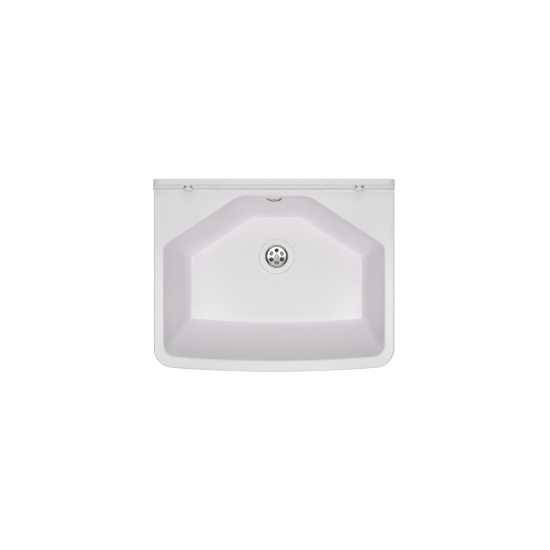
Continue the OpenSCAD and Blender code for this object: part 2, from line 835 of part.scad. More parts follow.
// Ring of the hose: eight points square to its heading
function hose_ring(s, d) =
  let (p = hose_at(s)[0], h = hose_at(s)[1], side = [h[1], -h[0]])
  [for (i = [0:hose_sides - 1])
    let (a = 360 * (i + 0.5) / hose_sides, r = d / 2)
    [r * cos(a), p[0] + side[0] * r * sin(a), p[1] + side[1] * r * sin(a)]];

// The ribbed length is one tube: out along the ribs and back along the bore
module ribbed_length() {
  step = ribbed_len / (2 * rib_count);
  start = cuff_l - cuff_lap;
  count = 2 * rib_count;
  outside = [for (i = [0:count])
    hose_ring(start + i * step, i % 2 == 0 ? root_d : rib_d)];
  inside = [for (i = [count:-1:0]) hose_ring(start + i * step, hose_bore_d)];
  rings = concat(outside, inside);
  m = len(rings);
  n = hose_sides;
  polyhedron(
    [for (r = rings) each r],
    [for (j = [0:m - 1], i = [0:n - 1])
      let (a = j * n + i, b = j * n + (i + 1) % n, c = (j + 1) % m * n + (i + 1) % n, d = (j + 1) % m * n + i)
      each [[a, c, b], [a, d, c]]]
  );
}

// Places children at the two ends of the hose, with local Z along the hose away from its end
module at_hose_ends() {
  at_overflow() at_outlet() translate([0, 0, spigot_start]) children();
  at_drain() at_inlet() translate([0, 0, inlet_start]) children();
}

module overflow_hose() {
  color("lightgray") union() {
    ribbed_length();
    at_hose_ends() tube(cuff_d, cuff_bore_d, 0, cuff_l);
  }
}

// Clip: a band with a square housing for its screw at the side
module hose_clips() {
  color("silver")
    at_hose_ends() translate([0, 0, clip_at]) difference() {
      union() {
        rod(band_d + 2 * clip_t, 0, clip_w);
        translate([house_x - clip_house / 2, -clip_house / 2, 0]) cube([clip_house, clip_house, clip_w]);
      }
      rod(band_d, -1, clip_w + 1);
      translate([screw_x, 0, clip_w / 2])
        rotate([90, 0, 0]) rod(clip_screw_d + 2 * seat_gap, -clip_house, clip_house);
    }
}

module clip_screws() {
  color("gray")
    at_hose_ends() translate([screw_x, -clip_house / 2, clip_at + clip_w / 2])
      rotate([90, 0, 0]) slotted_screw(clip_head_d, clip_head_h, clip_screw_d, clip_house + clip_screw_end);
}

basin();
fixing_bushes();
fixing_cap_left();
fixing_cap_right();
waste_collar();
collar_seal();
strainer_dish();
strainer_screw();
waste_body();
waste_insert();
body_seal();
overflow_rosette();
overflow_screw();
overflow_elbow();
elbow_insert();
elbow_gasket();
overflow_hose();
hose_clips();
clip_screws();
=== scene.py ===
# %% [markdown]
# # A wall-hung kitchen sink, seen from straight above
#
# The real object is one white moulding with a six-sided bowl. A steel strainer sits in its floor, a small
# rosette hides the overflow, and two round caps cover the wall fixings. Under it hang the waste and the hose.
#
# The measured solids are loaded first. Every piece that we build here sits where those solids say.

import math

import bmesh
import bpy
import numpy as np
from mathutils import Matrix, Vector


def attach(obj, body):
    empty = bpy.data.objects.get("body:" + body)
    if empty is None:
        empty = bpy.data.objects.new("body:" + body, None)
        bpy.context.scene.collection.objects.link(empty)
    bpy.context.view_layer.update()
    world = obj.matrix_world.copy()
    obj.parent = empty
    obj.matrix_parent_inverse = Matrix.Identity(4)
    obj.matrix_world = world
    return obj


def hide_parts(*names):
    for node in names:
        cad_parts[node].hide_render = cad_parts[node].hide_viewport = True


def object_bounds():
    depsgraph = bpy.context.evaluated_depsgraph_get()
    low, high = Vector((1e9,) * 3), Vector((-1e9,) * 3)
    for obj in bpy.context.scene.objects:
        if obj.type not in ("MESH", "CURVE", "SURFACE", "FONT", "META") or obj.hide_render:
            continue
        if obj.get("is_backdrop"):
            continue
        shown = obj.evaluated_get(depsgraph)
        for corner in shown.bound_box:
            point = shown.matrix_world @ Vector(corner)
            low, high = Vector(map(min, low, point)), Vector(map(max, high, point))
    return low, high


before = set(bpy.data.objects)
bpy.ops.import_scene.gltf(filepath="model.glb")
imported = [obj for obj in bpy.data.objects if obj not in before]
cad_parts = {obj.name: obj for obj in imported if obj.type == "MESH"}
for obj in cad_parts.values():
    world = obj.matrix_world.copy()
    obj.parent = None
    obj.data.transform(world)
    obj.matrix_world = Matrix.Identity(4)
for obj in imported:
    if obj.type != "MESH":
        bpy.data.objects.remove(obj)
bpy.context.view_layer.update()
scene = bpy.context.scene

# %% [markdown]
# ## Units, colours and nodes
#
# A maker thinks in millimetres and in hex colours, and Blender in metres and in linear light. One number and
# one small function translate. A second function adds a shader node with its settings and its links, so that
# a material reads like a list.


# %% Units, colours and nodes
MM = 0.001


def colour(code):
    """Linear colour of an sRGB hex value."""
    parts = [int(code[i : i + 2], 16) / 255 for i in (1, 3, 5)]
    return (*[p / 12.92 if p <= 0.04045 else ((p + 0.055) / 1.055) ** 2.4 for p in parts], 1.0)


def add(tree, kind, inputs=None, **settings):
    """Adds one node. Settings are its properties; an input is a value, or the socket that feeds it."""
    made = tree.nodes.new(kind)
    for name, value in settings.items():
        setattr(made, name, value)
    for key, value in (inputs or {}).items():
        if isinstance(value, bpy.types.NodeSocket):
            tree.links.new(value, made.inputs[key])
        else:
            made.inputs[key].default_value = value
    return made


print("mid grey in linear light:", round(colour("#808080")[0], 3))

# %% [markdown]
# ## Materials
#
# Every finish starts from the same three layers: a colour that wanders a little, a roughness that wanders a
# little, and a bump with a real size. Real surfaces are never perfectly even, and the eye notices when they
# are. `finish` builds those layers from millimetres, and each material then adds what makes it itself.


# %% The layers of a finish
NOISE_LOW, NOISE_HIGH = 0.3, 0.7  # noise rarely leaves this range


def uneven(tree, size_mm, detail=2.0, stretch=(1.0, 1.0, 1.0)):
    """Noise on the piece itself, with features about that many millimetres across."""
    where = add(tree, "ShaderNodeTexCoord").outputs["Object"]
    mapping = add(tree, "ShaderNodeMapping", {"Vector": where, "Scale": stretch})
    sizes = {"Vector": mapping.outputs["Vector"], "Scale": 1000.0 / size_mm, "Detail": detail}
    return add(tree, "ShaderNodeTexNoise", sizes).outputs["Fac"]


def finish(name, light, dark, patch_mm, rough, grain_mm, grain_depth_mm, stretch=(1.0, 1.0, 1.0), **sockets):
    """Principled material: two near colours in patches, uneven roughness and a fine bump."""
    material = bpy.data.materials.new(name)
    material.use_nodes = True
    tree = material.node_tree
    shader = tree.nodes["Principled BSDF"]
    mix = add(tree, "ShaderNodeMix", {"Factor": uneven(tree, patch_mm, stretch=stretch)}, data_type="RGBA")
    mix.inputs["A"].default_value = colour(light)
    mix.inputs["B"].default_value = colour(dark)
    tree.links.new(mix.outputs["Result"], shader.inputs["Base Color"])
    wear = {"Value": uneven(tree, patch_mm * 0.4, 4.0), "From Min": NOISE_LOW, "From Max": NOISE_HIGH}
    wear.update({"To Min": rough[0], "To Max": rough[1]})
    tree.links.new(add(tree, "ShaderNodeMapRange", wear).outputs["Result"], shader.inputs["Roughness"])
    grain = {"Height": uneven(tree, grain_mm, 3.0, stretch), "Distance": grain_depth_mm * MM, "Strength": 1.0}
    bump = add(tree, "ShaderNodeBump", grain)
    tree.links.new(bump.outputs["Normal"], shader.inputs["Normal"])
    for key, value in sockets.items():
        shader.inputs[key.replace("_", " ")].default_value = value
    return material


trial = finish("trial", "#ffffff", "#eeeeee", 40, (0.2, 0.3), 1, 0.01)
print("one finish has", len(trial.node_tree.nodes), "nodes")
bpy.data.materials.remove(trial)

# %% [markdown]
# The sink itself is a thick white moulding with a gel coat: a clear, even resin skin over a white body. It is
# glossy without being a mirror, very slightly cool, and its skin has a faint ripple from the mould.

# %% White gel coat
gel_coat_with_painted_light = finish(
    "moulded_white_gel_coat_with_painted_light", "#f6f3f6", "#f3f1f4", 160.0, (0.29, 0.34), 7.0, 0.0015,
    IOR=1.5, Coat_Weight=0.25, Coat_Roughness=0.12,
)
print("gel coat:", gel_coat_with_painted_light.name)

# %% [markdown]
# The small white parts are injection-moulded polypropylene, which is warmer than the gel coat. The collar of
# the waste is the glossiest, because its steel mould was polished, so it shows a soft light on one side.

# %% White and off-white polypropylene
white_polypropylene = finish(
    "moulded_white_polypropylene", "#f3f2f1", "#efeeec", 25.0, (0.29, 0.36), 0.8, 0.003, IOR=1.49,
)
glossy_polypropylene = finish(
    "polished_white_polypropylene", "#fbfaf7", "#f7f6f3", 25.0, (0.14, 0.2), 0.8, 0.002, IOR=1.49,
)
grey_polypropylene = finish(
    "moulded_grey_polypropylene", "#cccdca", "#c2c3c1", 30.0, (0.36, 0.5), 0.6, 0.01, IOR=1.49,
)
for moulded in (white_polypropylene, glossy_polypropylene, grey_polypropylene):
    print("polypropylene:", moulded.name)

# %% [markdown]
# The hose is blow-moulded polyethylene: softer, waxy and a little translucent, so its shine is broad.

# %% Hose and seals
hose_polyethylene = finish(
    "blow_moulded_polyethylene", "#c3c5c6", "#b6b9ba", 12.0, (0.4, 0.55), 0.7, 0.02,
    IOR=1.51, Sheen_Weight=0.1, Sheen_Roughness=0.5,
)
seal_rubber = finish("pressed_nitrile_rubber", "#2a2a2b", "#1f1f20", 8.0, (0.6, 0.8), 0.4, 0.02, IOR=1.52)
print("soft materials:", hose_polyethylene.name, seal_rubber.name)

# %% [markdown]
# Stainless steel keeps its colour in its reflections, so it is metallic with a grey base. Polishing, drawing
# and turning leave fine lines. Here they are a fine bump, squeezed along Z where they run round the part.
# They are drawn 0.3 to 0.5 mm wide, wider than real ones, so that they show. The brass of the inserts is
# turned in the same way.


# %% Stainless steel and brass
def metal(*layers):
    """A finish of metal: the default IOR, and reflections that carry the colour."""
    return finish(*layers, Metallic=1.0)


# Dark colours of the drawn wall and the rim of the dish: painted shade.
WALL_SHADE_LAYERS = "#6f6d68", "#62605c", 5.0, (0.35, 0.5), 0.5, 0.004, (1, 1, 4)
polished_steel = metal("pressed_polished_stainless_steel", "#c4c3c0", "#bfbebb", 14.0, (0.05, 0.1), 0.5, 0.0015)
shaded_wall_steel = metal("drawn_stainless_steel_wall", *WALL_SHADE_LAYERS)
turned_steel = metal("turned_stainless_steel", "#a9a8a4", "#999894", 4.0, (0.3, 0.42), 0.3, 0.004)
band_steel = metal("rolled_stainless_steel_band", "#bcbcba", "#aaaaa8", 9.0, (0.3, 0.42), 0.5, 0.006, (1, 1, 6))
turned_brass = metal("turned_threaded_brass", "#c8a862", "#b59450", 6.0, (0.29, 0.4), 0.5, 0.006, (1, 1, 5))
for made in (polished_steel, shaded_wall_steel, turned_steel, band_steel, turned_brass):
    print("metal:", made.name)

# %% [markdown]
# ## Shapes
#
# Four small tools make every piece: a rounded corner, a turned profile (a lathe), a loft through rings, and
# a cut or a join of two solids. They work in millimetres and hand the mesh over in metres.


# %% Rounded corners
def curve(first, corner, last, turn, steps):
    """Points of a true arc that starts towards the corner and ends away from it, over an angle."""
    weight = math.cos(turn / 2)
    points = []
    for u in np.linspace(0.0, 1.0, steps + 1):
        shares = (1 - u) ** 2, 2 * weight * u * (1 - u), u * u
        points.append((shares[0] * first + shares[1] * corner + shares[2] * last) / sum(shares))
    return points


def arc(corner, into, out, radius, steps, spread=0.0):
    """Points of a true arc in the corner between two directions. A straight corner spreads its points."""
    turn = math.acos(max(-1.0, min(1.0, float(into @ out))))
    reach = spread if turn < math.radians(1) else radius * math.tan(turn / 2)
    return curve(corner - reach * into, corner, corner + reach * out, turn, steps)


def unit(vector):
    return vector / np.linalg.norm(vector)


def rounded(corners, steps=5):
    """Closed outline. Each corner is x, y and, where it is rounded, its radius."""
    points = []
    for i, corner in enumerate(corners):
        here = np.array(corner[:2], float)
        if len(corner) < 3:
            points.append(here)
            continue
        into = unit(here - np.array(corners[i - 1][:2], float))
        out = unit(np.array(corners[(i + 1) % len(corners)][:2], float) - here)
        points.extend(arc(here, into, out, corner[2], steps))
    return [(float(x), float(y)) for x, y in points]


print("a rounded square has", len(rounded([(0, 0, 1), (4, 0, 1), (4, 4, 1), (0, 4, 1)])), "points")


# %% Solids, lathe and loft
def solid(name, points, faces, matrix=None):
    """Mesh object from points in millimetres, welded, with its faces turned outwards."""
    mesh = bpy.data.meshes.new(name)
    mesh.from_pydata([tuple(float(c) for c in p) for p in points], [], faces)
    mesh.transform(Matrix.Scale(MM, 4) @ (matrix or Matrix.Identity(4)))
    work = bmesh.new()
    work.from_mesh(mesh)
    bmesh.ops.remove_doubles(work, verts=work.verts, dist=1e-7)
    bmesh.ops.dissolve_degenerate(work, dist=1e-8, edges=work.edges)
    bmesh.ops.recalc_face_normals(work, faces=work.faces)
    work.to_mesh(mesh)
    work.free()
    piece = bpy.data.objects.new(name, mesh)
    scene.collection.objects.link(piece)
    return piece


def lathe(name, outline, matrix=None, turns=96):
    """Turns a closed outline of radius and height about the local Z axis."""
    count = len(outline)
    points, faces = [], []
    for i in range(turns):
        a = 2 * math.pi * i / turns
        points.extend((r * math.cos(a), r * math.sin(a), z) for r, z in outline)
        for j in range(count):
            k, after = (j + 1) % count, (i + 1) % turns * count
            faces.append((i * count + j, i * count + k, after + k, after + j))
    return solid(name, points, faces, matrix)


def loft(name, rings, matrix=None, closed=False):
    """Solid through rings of equal length: capped at both ends, or closed on itself."""
    count = len(rings[0])
    points = [p for ring in rings for p in ring]
    faces = []
    for j in range(len(rings) if closed else len(rings) - 1):
        a, b = j * count, (j + 1) % len(rings) * count
        faces.extend((a + i, a + (i + 1) % count, b + (i + 1) % count, b + i) for i in range(count))
    if not closed:
        faces.append(tuple(range(count))[::-1])
        faces.append(tuple(range(len(points) - count, len(points))))
    return solid(name, points, faces, matrix)


def prism(name, outline, low, high, matrix=None):
    """Straight solid over an outline in the local XY plane."""
    return loft(name, [[(x, y, z) for x, y in outline] for z in (low, high)], matrix)


def rod(name, diameter, low, high, matrix=None, turns=96):
    """Round cutter or filler, for use in a join or a cut."""
    angles = [2 * math.pi * i / turns for i in range(turns)]
    circle = [(diameter / 2 * math.cos(a), diameter / 2 * math.sin(a)) for a in angles]
    return prism(name, circle, low, high, matrix)


print("lathe, loft, prism and rod are ready")


# %% Cutting, joining and dressing
def settle(piece):
    """Applies the modifiers of a piece."""
    graph = bpy.context.evaluated_depsgraph_get()
    mesh = bpy.data.meshes.new_from_object(piece.evaluated_get(graph))
    piece.modifiers.clear()
    piece.data = mesh


def combine(piece, operation, *others):
    """Joins other solids to a piece, or cuts them out of it, and removes them."""
    for other in others:
        step = piece.modifiers.new("step", "BOOLEAN")
        step.operation, step.object, step.solver = operation, other, "MANIFOLD"
        settle(piece)
        bpy.data.objects.remove(other)
    return piece


def soften(piece, width_mm, segments=2, degrees=35.0):
    """Takes the sharp arris off every edge, as a mould or a file does."""
    step = piece.modifiers.new("arris", "BEVEL")
    step.width, step.segments, step.limit_method = width_mm * MM, segments, "ANGLE"
    step.angle_limit = math.radians(degrees)
    settle(piece)
    return piece


def dress(piece, material, slot, *nodes, body="sink", crisp=24.0):
    """Shades a piece smooth between its crisp edges, gives it its material and puts it on its body."""
    mesh = piece.data
    mesh.materials.clear()
    mesh.materials.append(material)
    mesh.shade_smooth()
    mesh.set_sharp_from_angle(angle=math.radians(crisp))
    step = piece.modifiers.new("even_shading", "WEIGHTED_NORMAL")
    step.keep_sharp = True
    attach(piece, body)
    if nodes:
        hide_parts(*nodes)
    print(f"{piece.name}: {len(mesh.polygons)} faces")
    return piece


# %% [markdown]
# ## The basin
#
# The bowl is one closed skin through many rings, as if the moulding were sliced level by level. Each ring has
# the same number of points, so the skin runs up the bowl, over the lip, across the deck, down the skirt and
# back under. Every wall leans in by its own draft, and ends in a wide fillet that meets the floor at a small
# crease. That crease is what draws the six-sided floor in the photograph.

# %% Sizes of the basin, in millimetres
SINK_W, SINK_D, FRONT_BOW, FRONT_CORNER_R, EDGE_R = 600.0, 477.0, 10.0, 48.0, 5.5
SKIRT_H, SKIRT_T, DECK_T, BACK_RELIEF, BACK_EDGE_R, BACK_SPREAD = 45.0, 5.0, 8.0, 1.0, 1.0, 15.0
BOWL_W, BOWL_BACK_W, BACK_LAND, FRONT_RIM, SIDE_START = 547.0, 170.0, 40.0, 29.0, 163.0
BOWL_DEPTH, FLOOR_FALL, WALL_T, LIP_R = 200.0, 4.0, 8.0, 5.0
DRAFTS = [math.radians(d) for d in (5.0, 5.8, 4.5, 18.0)]
FILLETS = (40.0, 40.0, 40.0, 50.0)
CREASE, CREASE_R = math.radians(90.0 - 27.0), 6.0
BACK_CORNER_R, SIDE_CORNER_R, BOWL_FRONT_R, FLOOR_CORNER_R = 40.0, 26.0, 30.0, 5.0
DRAIN_Y, PAN_R = 183.0, 52.05
FLOOR_Z = -(BOWL_DEPTH + FLOOR_FALL)
CORNER_STEPS, RUN_STEPS, BOW_STEPS = 12, 8, 32
print("drafts of the back, slanting, side and front walls:", [round(math.degrees(d), 1) for d in DRAFTS])


# %% One ring
def run(first, last, count=RUN_STEPS):
    return [first + (last - first) * u for u in np.linspace(0, 1, count + 2)[1:-1]]


def ring(half_w, side, back, front_y, radii, spread=0.0):
    """Ring with two front, two side and two back corners and a bowed front, counter-clockwise."""
    front_r, side_r, back_r = radii
    tilt = math.atan(2 * FRONT_BOW / (half_w - front_r))
    setback = front_r * math.tan((math.pi / 2 - tilt) / 2)
    bow_x = half_w - setback * math.cos(tilt)
    front = np.array([half_w, front_y + FRONT_BOW + setback * math.sin(tilt)])
    along = unit(back - side)
    up = np.array([0.0, 1.0])
    corners = [
        arc(front, np.array([math.cos(tilt), math.sin(tilt)]), up, front_r, CORNER_STEPS, spread),
        arc(side, up, along, side_r, CORNER_STEPS, spread),
        arc(back, along, np.array([-1.0, 0.0]), back_r, CORNER_STEPS, spread),
    ]
    right = corners[0] + run(corners[0][-1], corners[1][0]) + corners[1]
    right += run(corners[1][-1], corners[2][0]) + corners[2]
    left = [p * (-1, 1) for p in reversed(right)]
    bow = []
    for x in np.linspace(-bow_x, bow_x, BOW_STEPS + 2)[1:-1]:
        bow.append(np.array([x, front_y + FRONT_BOW * (x / bow_x) ** 2]))
    return np.array(right + run(right[-1], left[0]) + left + bow)


print("a ring takes", 6 * (CORNER_STEPS + 1) + 5 * RUN_STEPS + BOW_STEPS, "points")

# %% [markdown]
# A wall slopes in a straight line down to its fillet, which is a true arc, so how far it has moved in can be
# worked out exactly at any depth. The lip at the deck is a smaller arc of the same kind.


# %% The shape of a wall
def inset(depth, draft, fillet, thickness=0.0):
    """How far a wall has moved in at a depth, with the fillet at its foot."""
    start = BOWL_DEPTH - fillet * (math.sin(CREASE) - math.sin(draft))
    centre_x = start * math.tan(draft) + fillet * math.cos(draft)
    centre_z = start - fillet * math.sin(draft)
    radius = fillet + thickness
    if depth <= centre_z + radius * math.sin(draft):
        return depth * math.tan(draft) - thickness / math.cos(draft)
    return centre_x - math.sqrt(max(0.0, radius**2 - (depth - centre_z) ** 2))


def lip(depth, draft, fillet):
    """The same for the inner skin, with the rounded lip at the deck."""
    if depth < LIP_R * (1 - math.sin(draft)):
        across = math.sqrt(LIP_R**2 - (LIP_R - depth) ** 2)
        return across - LIP_R * math.tan(math.pi / 4 - draft / 2)
    return inset(depth, draft, fillet)


print("the front wall moves in by", round(lip(BOWL_DEPTH, DRAFTS[3], FILLETS[3]), 1), "mm down to the crease")


# %% Rings of the bowl and of the outside
def bowl_ring(ins, gained, thickness=0.0):
    """Ring of the bowl from how far its back, slanting, side and front walls have moved in."""
    slant = np.array([BOWL_W / 2 - BOWL_BACK_W / 2, BACK_LAND - SIDE_START])
    nx, ny = np.array([slant[1], -slant[0]]) / np.linalg.norm(slant)
    half_w = BOWL_W / 2 - ins[2]
    back = np.array([BOWL_BACK_W / 2 + (ins[1] + ins[0] * ny) / nx, -BACK_LAND - ins[0]])
    side = np.array([half_w, -BACK_LAND + (ins[1] - (half_w - BOWL_BACK_W / 2) * nx) / ny])
    radii = [max(FLOOR_CORNER_R, r - gained) + thickness for r in (BOWL_FRONT_R, SIDE_CORNER_R, BACK_CORNER_R)]
    return ring(half_w, side, back, FRONT_RIM - SINK_D + ins[3], radii)


def inner(depth):
    ins = [lip(depth, draft, fillet) for draft, fillet in zip(DRAFTS, FILLETS)]
    return bowl_ring(ins, ins[2])


def outer(depth):
    ins = [inset(depth, draft, fillet, WALL_T) for draft, fillet in zip(DRAFTS, FILLETS)]
    return bowl_ring(ins, ins[2] + WALL_T, WALL_T)


def skirt(step, back_step=0.0):
    """Ring of the outside, moved in by a step at the sides and front and by another at the back."""
    back_y = -BACK_RELIEF - back_step
    side = np.array([SINK_W / 2 - step, back_y])
    back = np.array([BOWL_BACK_W / 2, back_y])
    radii = FRONT_CORNER_R - step, BACK_EDGE_R, BACK_EDGE_R
    return ring(side[0], side, back, step - SINK_D, radii, BACK_SPREAD)


def about_drain(points, radius):
    """Circle about the waste with one point for each point of a ring."""
    angles = np.arctan2(points[:, 1] + DRAIN_Y, points[:, 0])
    return np.stack([radius * np.cos(angles), radius * np.sin(angles) - DRAIN_Y], 1)


def level(points, z):
    return np.column_stack([points, np.full(len(points), z) if np.isscalar(z) else z])


print("points in a ring:", len(inner(0.0)))

# %% [markdown]
# Now the rings are stacked. The floor falls 4 mm from the crease to the waste, so that it drains. The fall is
# eased a little, because a resin floor has no hard line where it starts to dip. The crease is rounded over
# 6 mm.

# %% The moulded skin
FILLET_STEPS, LIP_STEPS, EDGE_STEPS, FLOOR_STEPS, WALL_STEPS, CREASE_STEPS = 24, 14, 12, 8, 5, 6
EASE = 0.06
# The lower edge of the skirt and its inside: how far each ring moves in, and how far up it lies.
HEM = (0.0, 1.5), (0.5, 0.4), (1.5, 0.0), (SKIRT_T, 0.0), (SKIRT_T, SKIRT_H - DECK_T)


def fillet_depth(u):
    """Depth of a ring of the fillet, from the wall (0) to the crease (1)."""
    lean = DRAFTS[2] + (CREASE - DRAFTS[2]) * u
    return BOWL_DEPTH - FILLETS[0] * (math.sin(CREASE) - math.sin(lean))


crease_ring = inner(BOWL_DEPTH)
pan_ring = about_drain(crease_ring, PAN_R)


def floor_ring(u):
    """Ring of the floor, from the waste (0) to the crease (1). It takes one share, or one for each point."""
    eased = u + EASE * np.sin(2 * math.pi * u)
    return level(pan_ring + (crease_ring - pan_ring) * np.reshape(u, (-1, 1)), FLOOR_Z + FLOOR_FALL * eased)


crease_turn = math.pi / 2 - CREASE
crease_reach = CREASE_R * math.tan(crease_turn / 2)
crease_end = BOWL_DEPTH - crease_reach * math.sin(crease_turn)
crease_start = floor_ring(1 - crease_reach / np.linalg.norm(crease_ring - pan_ring, axis=1))
crease_lean = math.asin(math.sin(CREASE) - (BOWL_DEPTH - crease_end) / FILLETS[0])
crease_share = (crease_lean - DRAFTS[2]) / (CREASE - DRAFTS[2])
rings = [floor_ring(u) for u in np.linspace(0, 1, FLOOR_STEPS + 1)[:-1]]
crease_tip, crease_foot = level(crease_ring, -BOWL_DEPTH), level(inner(crease_end), -crease_end)
rings += curve(crease_start, crease_tip, crease_foot, crease_turn, CREASE_STEPS)
depths = [fillet_depth(u) for u in np.linspace(crease_share, 0, FILLET_STEPS + 1)[1:]]
depths += list(np.linspace(fillet_depth(0), LIP_R, WALL_STEPS + 2)[1:-1])
depths += [LIP_R * (1 - math.cos(a)) for a in np.linspace(math.pi / 2, 0, LIP_STEPS + 1)]
rings += [level(inner(d), -d) for d in depths]
for a in np.linspace(0, math.pi / 2, EDGE_STEPS + 1):
    rings.append(level(skirt(EDGE_R * (1 - math.sin(a))), EDGE_R * (math.cos(a) - 1)))
rings += [level(skirt(step, step), up - SKIRT_H) for step, up in HEM]
outer_depth = BOWL_DEPTH + WALL_T * math.sin(CREASE)
depths = [DECK_T]
depths += [fillet_depth(u) + (outer_depth - BOWL_DEPTH) * u for u in np.linspace(0, 1, FILLET_STEPS + 1)]
rings += [level(outer(d), -d) for d in depths]
rings.append(level(about_drain(outer(outer_depth), PAN_R), FLOOR_Z - WALL_T))
basin = loft("moulded_basin", rings)
print("rings:", len(rings), "points in each:", len(rings[0]))

# %% [markdown]
# Along the back runs the upstand that meets the wall. Its face is stepped: a narrow band, a ledge, a taller
# face that leans out, and a small cove onto the deck. Those four bands give the fine light and dark lines
# across the top of the photograph. A boss for each fixing stands in a round pocket, which leaves a dark gap
# behind the cap.

# %% Sizes and places of the upstand, the bosses and the ribs
UPSTAND_H, UPSTAND_T, UPSTAND_END_R, UPSTAND_INSET = 26.0, 15.0, 24.0, 0.5
BAND_LEAN, NOSE_H, LEDGE_W, LEDGE_FALL, UPSTAND_FOOT, COVE_R = 1.6, 5.5, 4.9, 1.7, 24.2, 4.0
FIXING_X, FIXING_Z, BOSS_D, BOSS_Y = 210.0, 14.0, 23.0, 21.2
NECK_R, POCKET_R, POCKET_Y, BROKEN_R = 6.9, 11.6, 16.8, 1.1
PAD_D, PAD_Z, FLOOR_HOLE_D, RECESS_D, RECESS_Z = 98.0, -216.0, 64.0, 98.1, -207.2
OVERFLOW_DEPTH, OVERFLOW_HOLE_D, FIXING_HOLE_D = 31.0, 34.0, 11.9
OVERFLOW_Y = -BACK_LAND - OVERFLOW_DEPTH * math.tan(DRAFTS[0])
# A rib: the share of the slanting wall where it starts, and its levels with their half widths.
RIB_SHARES, RIB_LEVELS = (0.3, 0.72), ((-27.0, 1.6), (-26.4, 2.0), (-DECK_T / 2, 2.2))


def turned(x, y, z, degrees=0.0):
    """Matrix of a frame at a point in millimetres, turned about X."""
    return Matrix.Translation((x, y, z)) @ Matrix.Rotation(math.radians(degrees), 4, "X")


AT_DRAIN = turned(0, -DRAIN_Y, 0)
AT_OVERFLOW = turned(0, OVERFLOW_Y, -OVERFLOW_DEPTH, 90 - math.degrees(DRAFTS[0]))
AT_FIXING = {side: turned(side * FIXING_X, 0, FIXING_Z, 90) for side in (-1, 1)}
ACROSS = Matrix(((0, 0, 1, 0), (1, 0, 0, 0), (0, 1, 0, 0), (0, 0, 0, 1)))
print("wall fixings:", 2 * FIXING_X, "mm apart")

# %% The upstand, the bosses and the ribs
ledge_z, band_y = UPSTAND_H - NOSE_H, UPSTAND_T + BAND_LEAN
section = rounded([
    (0, -DECK_T + 1), (0, UPSTAND_H), (-UPSTAND_T, UPSTAND_H, 1.2), (-band_y, ledge_z, 0.8),
    (-band_y - LEDGE_W, ledge_z - LEDGE_FALL, 1.0), (-UPSTAND_FOOT, -0.02, COVE_R), (-UPSTAND_FOOT - 6, -0.02),
    (-UPSTAND_FOOT - 6, -DECK_T + 1),
], 8)
half = SINK_W / 2 - UPSTAND_INSET
front_view = rounded([
    (-half, -DECK_T), (half, -DECK_T), (half, UPSTAND_H, UPSTAND_END_R), (-half, UPSTAND_H, UPSTAND_END_R),
], 16)
upstand = prism("upstand", section, -half, half, ACROSS)
combine(upstand, "INTERSECT", prism("front view", front_view, -1, UPSTAND_FOOT + 7, turned(0, 0, 0, 90)))
soften(upstand, 0.8, segments=3, degrees=50)

joins = [upstand, rod("pad", PAD_D, PAD_Z, FLOOR_Z - WALL_T / 2, AT_DRAIN, 128)]
joins += [rod("boss", BOSS_D, 5, BOSS_Y, AT_FIXING[side]) for side in (-1, 1)]
slope = (SIDE_START - BACK_LAND) / (BOWL_W - BOWL_BACK_W) * 2
for side in (-1, 1):
    for share in RIB_SHARES:
        reach = share * (BOWL_W - BOWL_BACK_W) / 2
        x = side * (BOWL_BACK_W / 2 + reach)
        near, far = -BACK_LAND - reach * slope + WALL_T / 4, -BACK_RELIEF - SKIRT_T / 2
        levels = [[(x - w, near, z), (x - w, far, z), (x + w, far, z), (x + w, near, z)] for z, w in RIB_LEVELS]
        joins.append(loft("rib", levels))
combine(basin, "UNION", *joins)
print("basin after the joins:", len(basin.data.polygons), "faces")

# %% [markdown]
# The openings are cut last, as they would be drilled: the stepped seat of the waste with its edge just
# broken, the hole of the overflow, and the two fixing holes.

# %% The openings of the basin
broken = arc(np.array([RECESS_D / 2, FLOOR_Z]), np.array([0.0, 1.0]), np.array([1.0, 0.0]), BROKEN_R, 6)
seat = [(0, RECESS_Z), (RECESS_D / 2, RECESS_Z)] + [(float(r), float(z)) for r, z in broken]
seat += [(RECESS_D / 2 + BROKEN_R, FLOOR_Z + 5), (0, FLOOR_Z + 5)]
cuts = [lathe("seat of the waste", seat, AT_DRAIN, 160)]
cuts.append(rod("floor hole", FLOOR_HOLE_D, PAD_Z - 5, FLOOR_Z, AT_DRAIN, 128))
cuts.append(rod("overflow hole", OVERFLOW_HOLE_D, -WALL_T - 3, 3, AT_OVERFLOW))
pocket = [
    (NECK_R, POCKET_Y), (POCKET_R, POCKET_Y, 0.5), (POCKET_R, BOSS_Y + 12), (0, BOSS_Y + 12), (0, BOSS_Y),
    (NECK_R, BOSS_Y, 0.4),
]
cuts += [lathe("pocket of a cap", rounded(pocket, 4), AT_FIXING[side], 96) for side in (-1, 1)]
cuts += [rod("fixing hole", FIXING_HOLE_D, -5, BOSS_Y + 5, AT_FIXING[side], 64) for side in (-1, 1)]
combine(basin, "DIFFERENCE", *cuts)
dress(basin, gel_coat_with_painted_light, "white_basin", "basin", crisp=12.0)

# %% [markdown]
# A pale line of painted highlight runs along the crease, up to the front corners, and painted light grows from
# the waste to the front of the floor, so the floor is lighter towards the front. The crease lies at one height,
# so the height finds it. The floor is what faces straight up at that depth. The line is drawn up to 4 mm wide,
# so that it shows.


# %% Painted highlight and painted light on the floor
def tinted(material, factor, code):
    """Mixes a second colour into a finish by a factor."""
    tree = material.node_tree
    shader = tree.nodes["Principled BSDF"]
    under = shader.inputs["Base Color"].links[0].from_socket
    mix = add(tree, "ShaderNodeMix", {"Factor": factor, "A": under}, data_type="RGBA")
    mix.inputs["B"].default_value = colour(code)
    tree.links.new(mix.outputs["Result"], shader.inputs["Base Color"])
    return material
